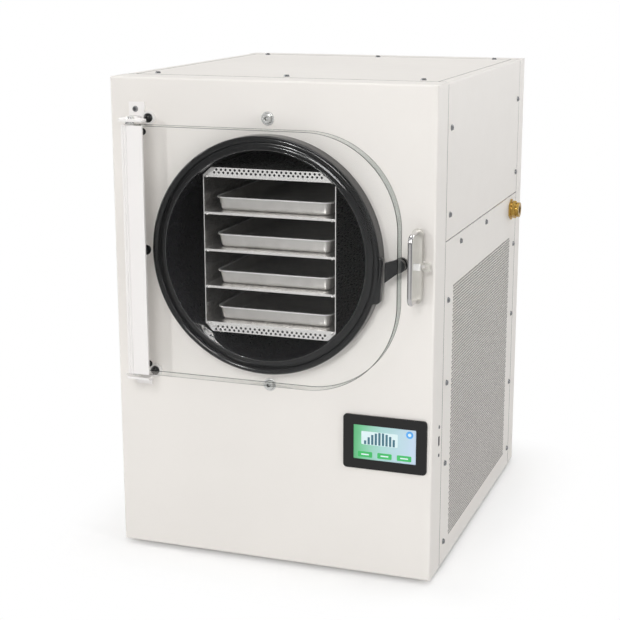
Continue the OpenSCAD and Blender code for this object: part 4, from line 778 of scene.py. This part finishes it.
def world(level, mirrored):
    """Even light of one level. Mirrored rays see it at a level of its own; the camera and glass see white."""
    made = bpy.data.worlds.new("studio")
    made.use_nodes = True
    bpy.context.scene.world = made
    nodes, links = made.node_tree.nodes, made.node_tree.links
    background = nodes["Background"]
    background.inputs["Color"].default_value = (1, 1, 1, 1)
    path = nodes.new("ShaderNodeLightPath")
    dimmer = nodes.new("ShaderNodeMath")
    dimmer.operation = "MULTIPLY_ADD"
    dimmer.inputs[1].default_value = mirrored - level
    dimmer.inputs[2].default_value = level
    links.new(path.outputs["Is Glossy Ray"], dimmer.inputs[0])
    links.new(dimmer.outputs[0], background.inputs["Strength"])
    viewed = nodes.new("ShaderNodeMath")
    viewed.operation = "MAXIMUM"
    links.new(path.outputs["Is Camera Ray"], viewed.inputs[0])
    links.new(path.outputs["Is Transmission Ray"], viewed.inputs[1])
    white = nodes.new("ShaderNodeBackground")
    white.inputs["Color"].default_value = (1, 1, 1, 1)
    mix = nodes.new("ShaderNodeMixShader")
    for socket, value in zip(mix.inputs, (viewed.outputs[0], background.outputs[0], white.outputs[0])):
        links.new(value, socket)
    links.new(mix.outputs[0], nodes["World Output"].inputs["Surface"])


def area_light(name, place, aim, size, power):
    """A rectangular soft light of power watts that looks at aim."""
    data = bpy.data.lights.new(name, "AREA")
    data.shape = "RECTANGLE"
    data.size, data.size_y = size
    data.energy = power
    obj = bpy.data.objects.new(name, data)
    obj.location = place
    obj.rotation_euler = (Vector(aim) - Vector(place)).to_track_quat("-Z", "Y").to_euler()
    bpy.context.scene.collection.objects.link(obj)


def sun(name, direction, strength, angle):
    """A faint key light for the contact shadows; angle is its apparent size in degrees."""
    data = bpy.data.lights.new(name, "SUN")
    data.energy = strength
    data.angle = math.radians(angle)
    obj = bpy.data.objects.new(name, data)
    obj.rotation_euler = Vector(direction).to_track_quat("-Z", "Y").to_euler()
    bpy.context.scene.collection.objects.link(obj)


def camera():
    """The camera stands in front, to the right and a little above, as a product photographer's does."""
    data = bpy.data.cameras.new("camera")
    data.lens = 83.7
    data.sensor_width = 36
    obj = bpy.data.objects.new("camera", data)
    obj.location = (0.6856, -2.0016, 0.8241)
    obj.rotation_euler = (math.radians(90 - 13.66), math.radians(0.1), math.radians(19.64))
    bpy.context.scene.collection.objects.link(obj)
    bpy.context.scene.camera = obj


# ---------------------------------------------------------------- the whole scene

camera()
dress_cad()
side_sheets()
seam_shade_strips()
door_sheet()
gasket()
trays()
rack_rivets()
display_fields()
floor()
world(0.34, 0.45)
sun("key", (0.27, 0.95, -0.16), 0.42, 1.4)
area_light("front_box", (0.35, -2.9, 1.8), (0, 0, 0.35), (0.9, 0.9), 29)
area_light("left_box", (-2.2, -0.2, 1.2), (0, 0, 0.4), (0.5, 1.6), 17)
area_light("right_box", (2.2, -1.0, 1.4), (0, 0, 0.4), (0.3, 1.6), 13)
area_light("rear_box", (1.5, 2.2, 0.9), (0, 0, 0.35), (1.2, 1.2), 13)
area_light("overhead", (0.1, 0.3, 2.6), (0, 0.1, 0.6), (1.9, 1.5), 23)
bpy.context.scene.view_settings.view_transform = "Standard"
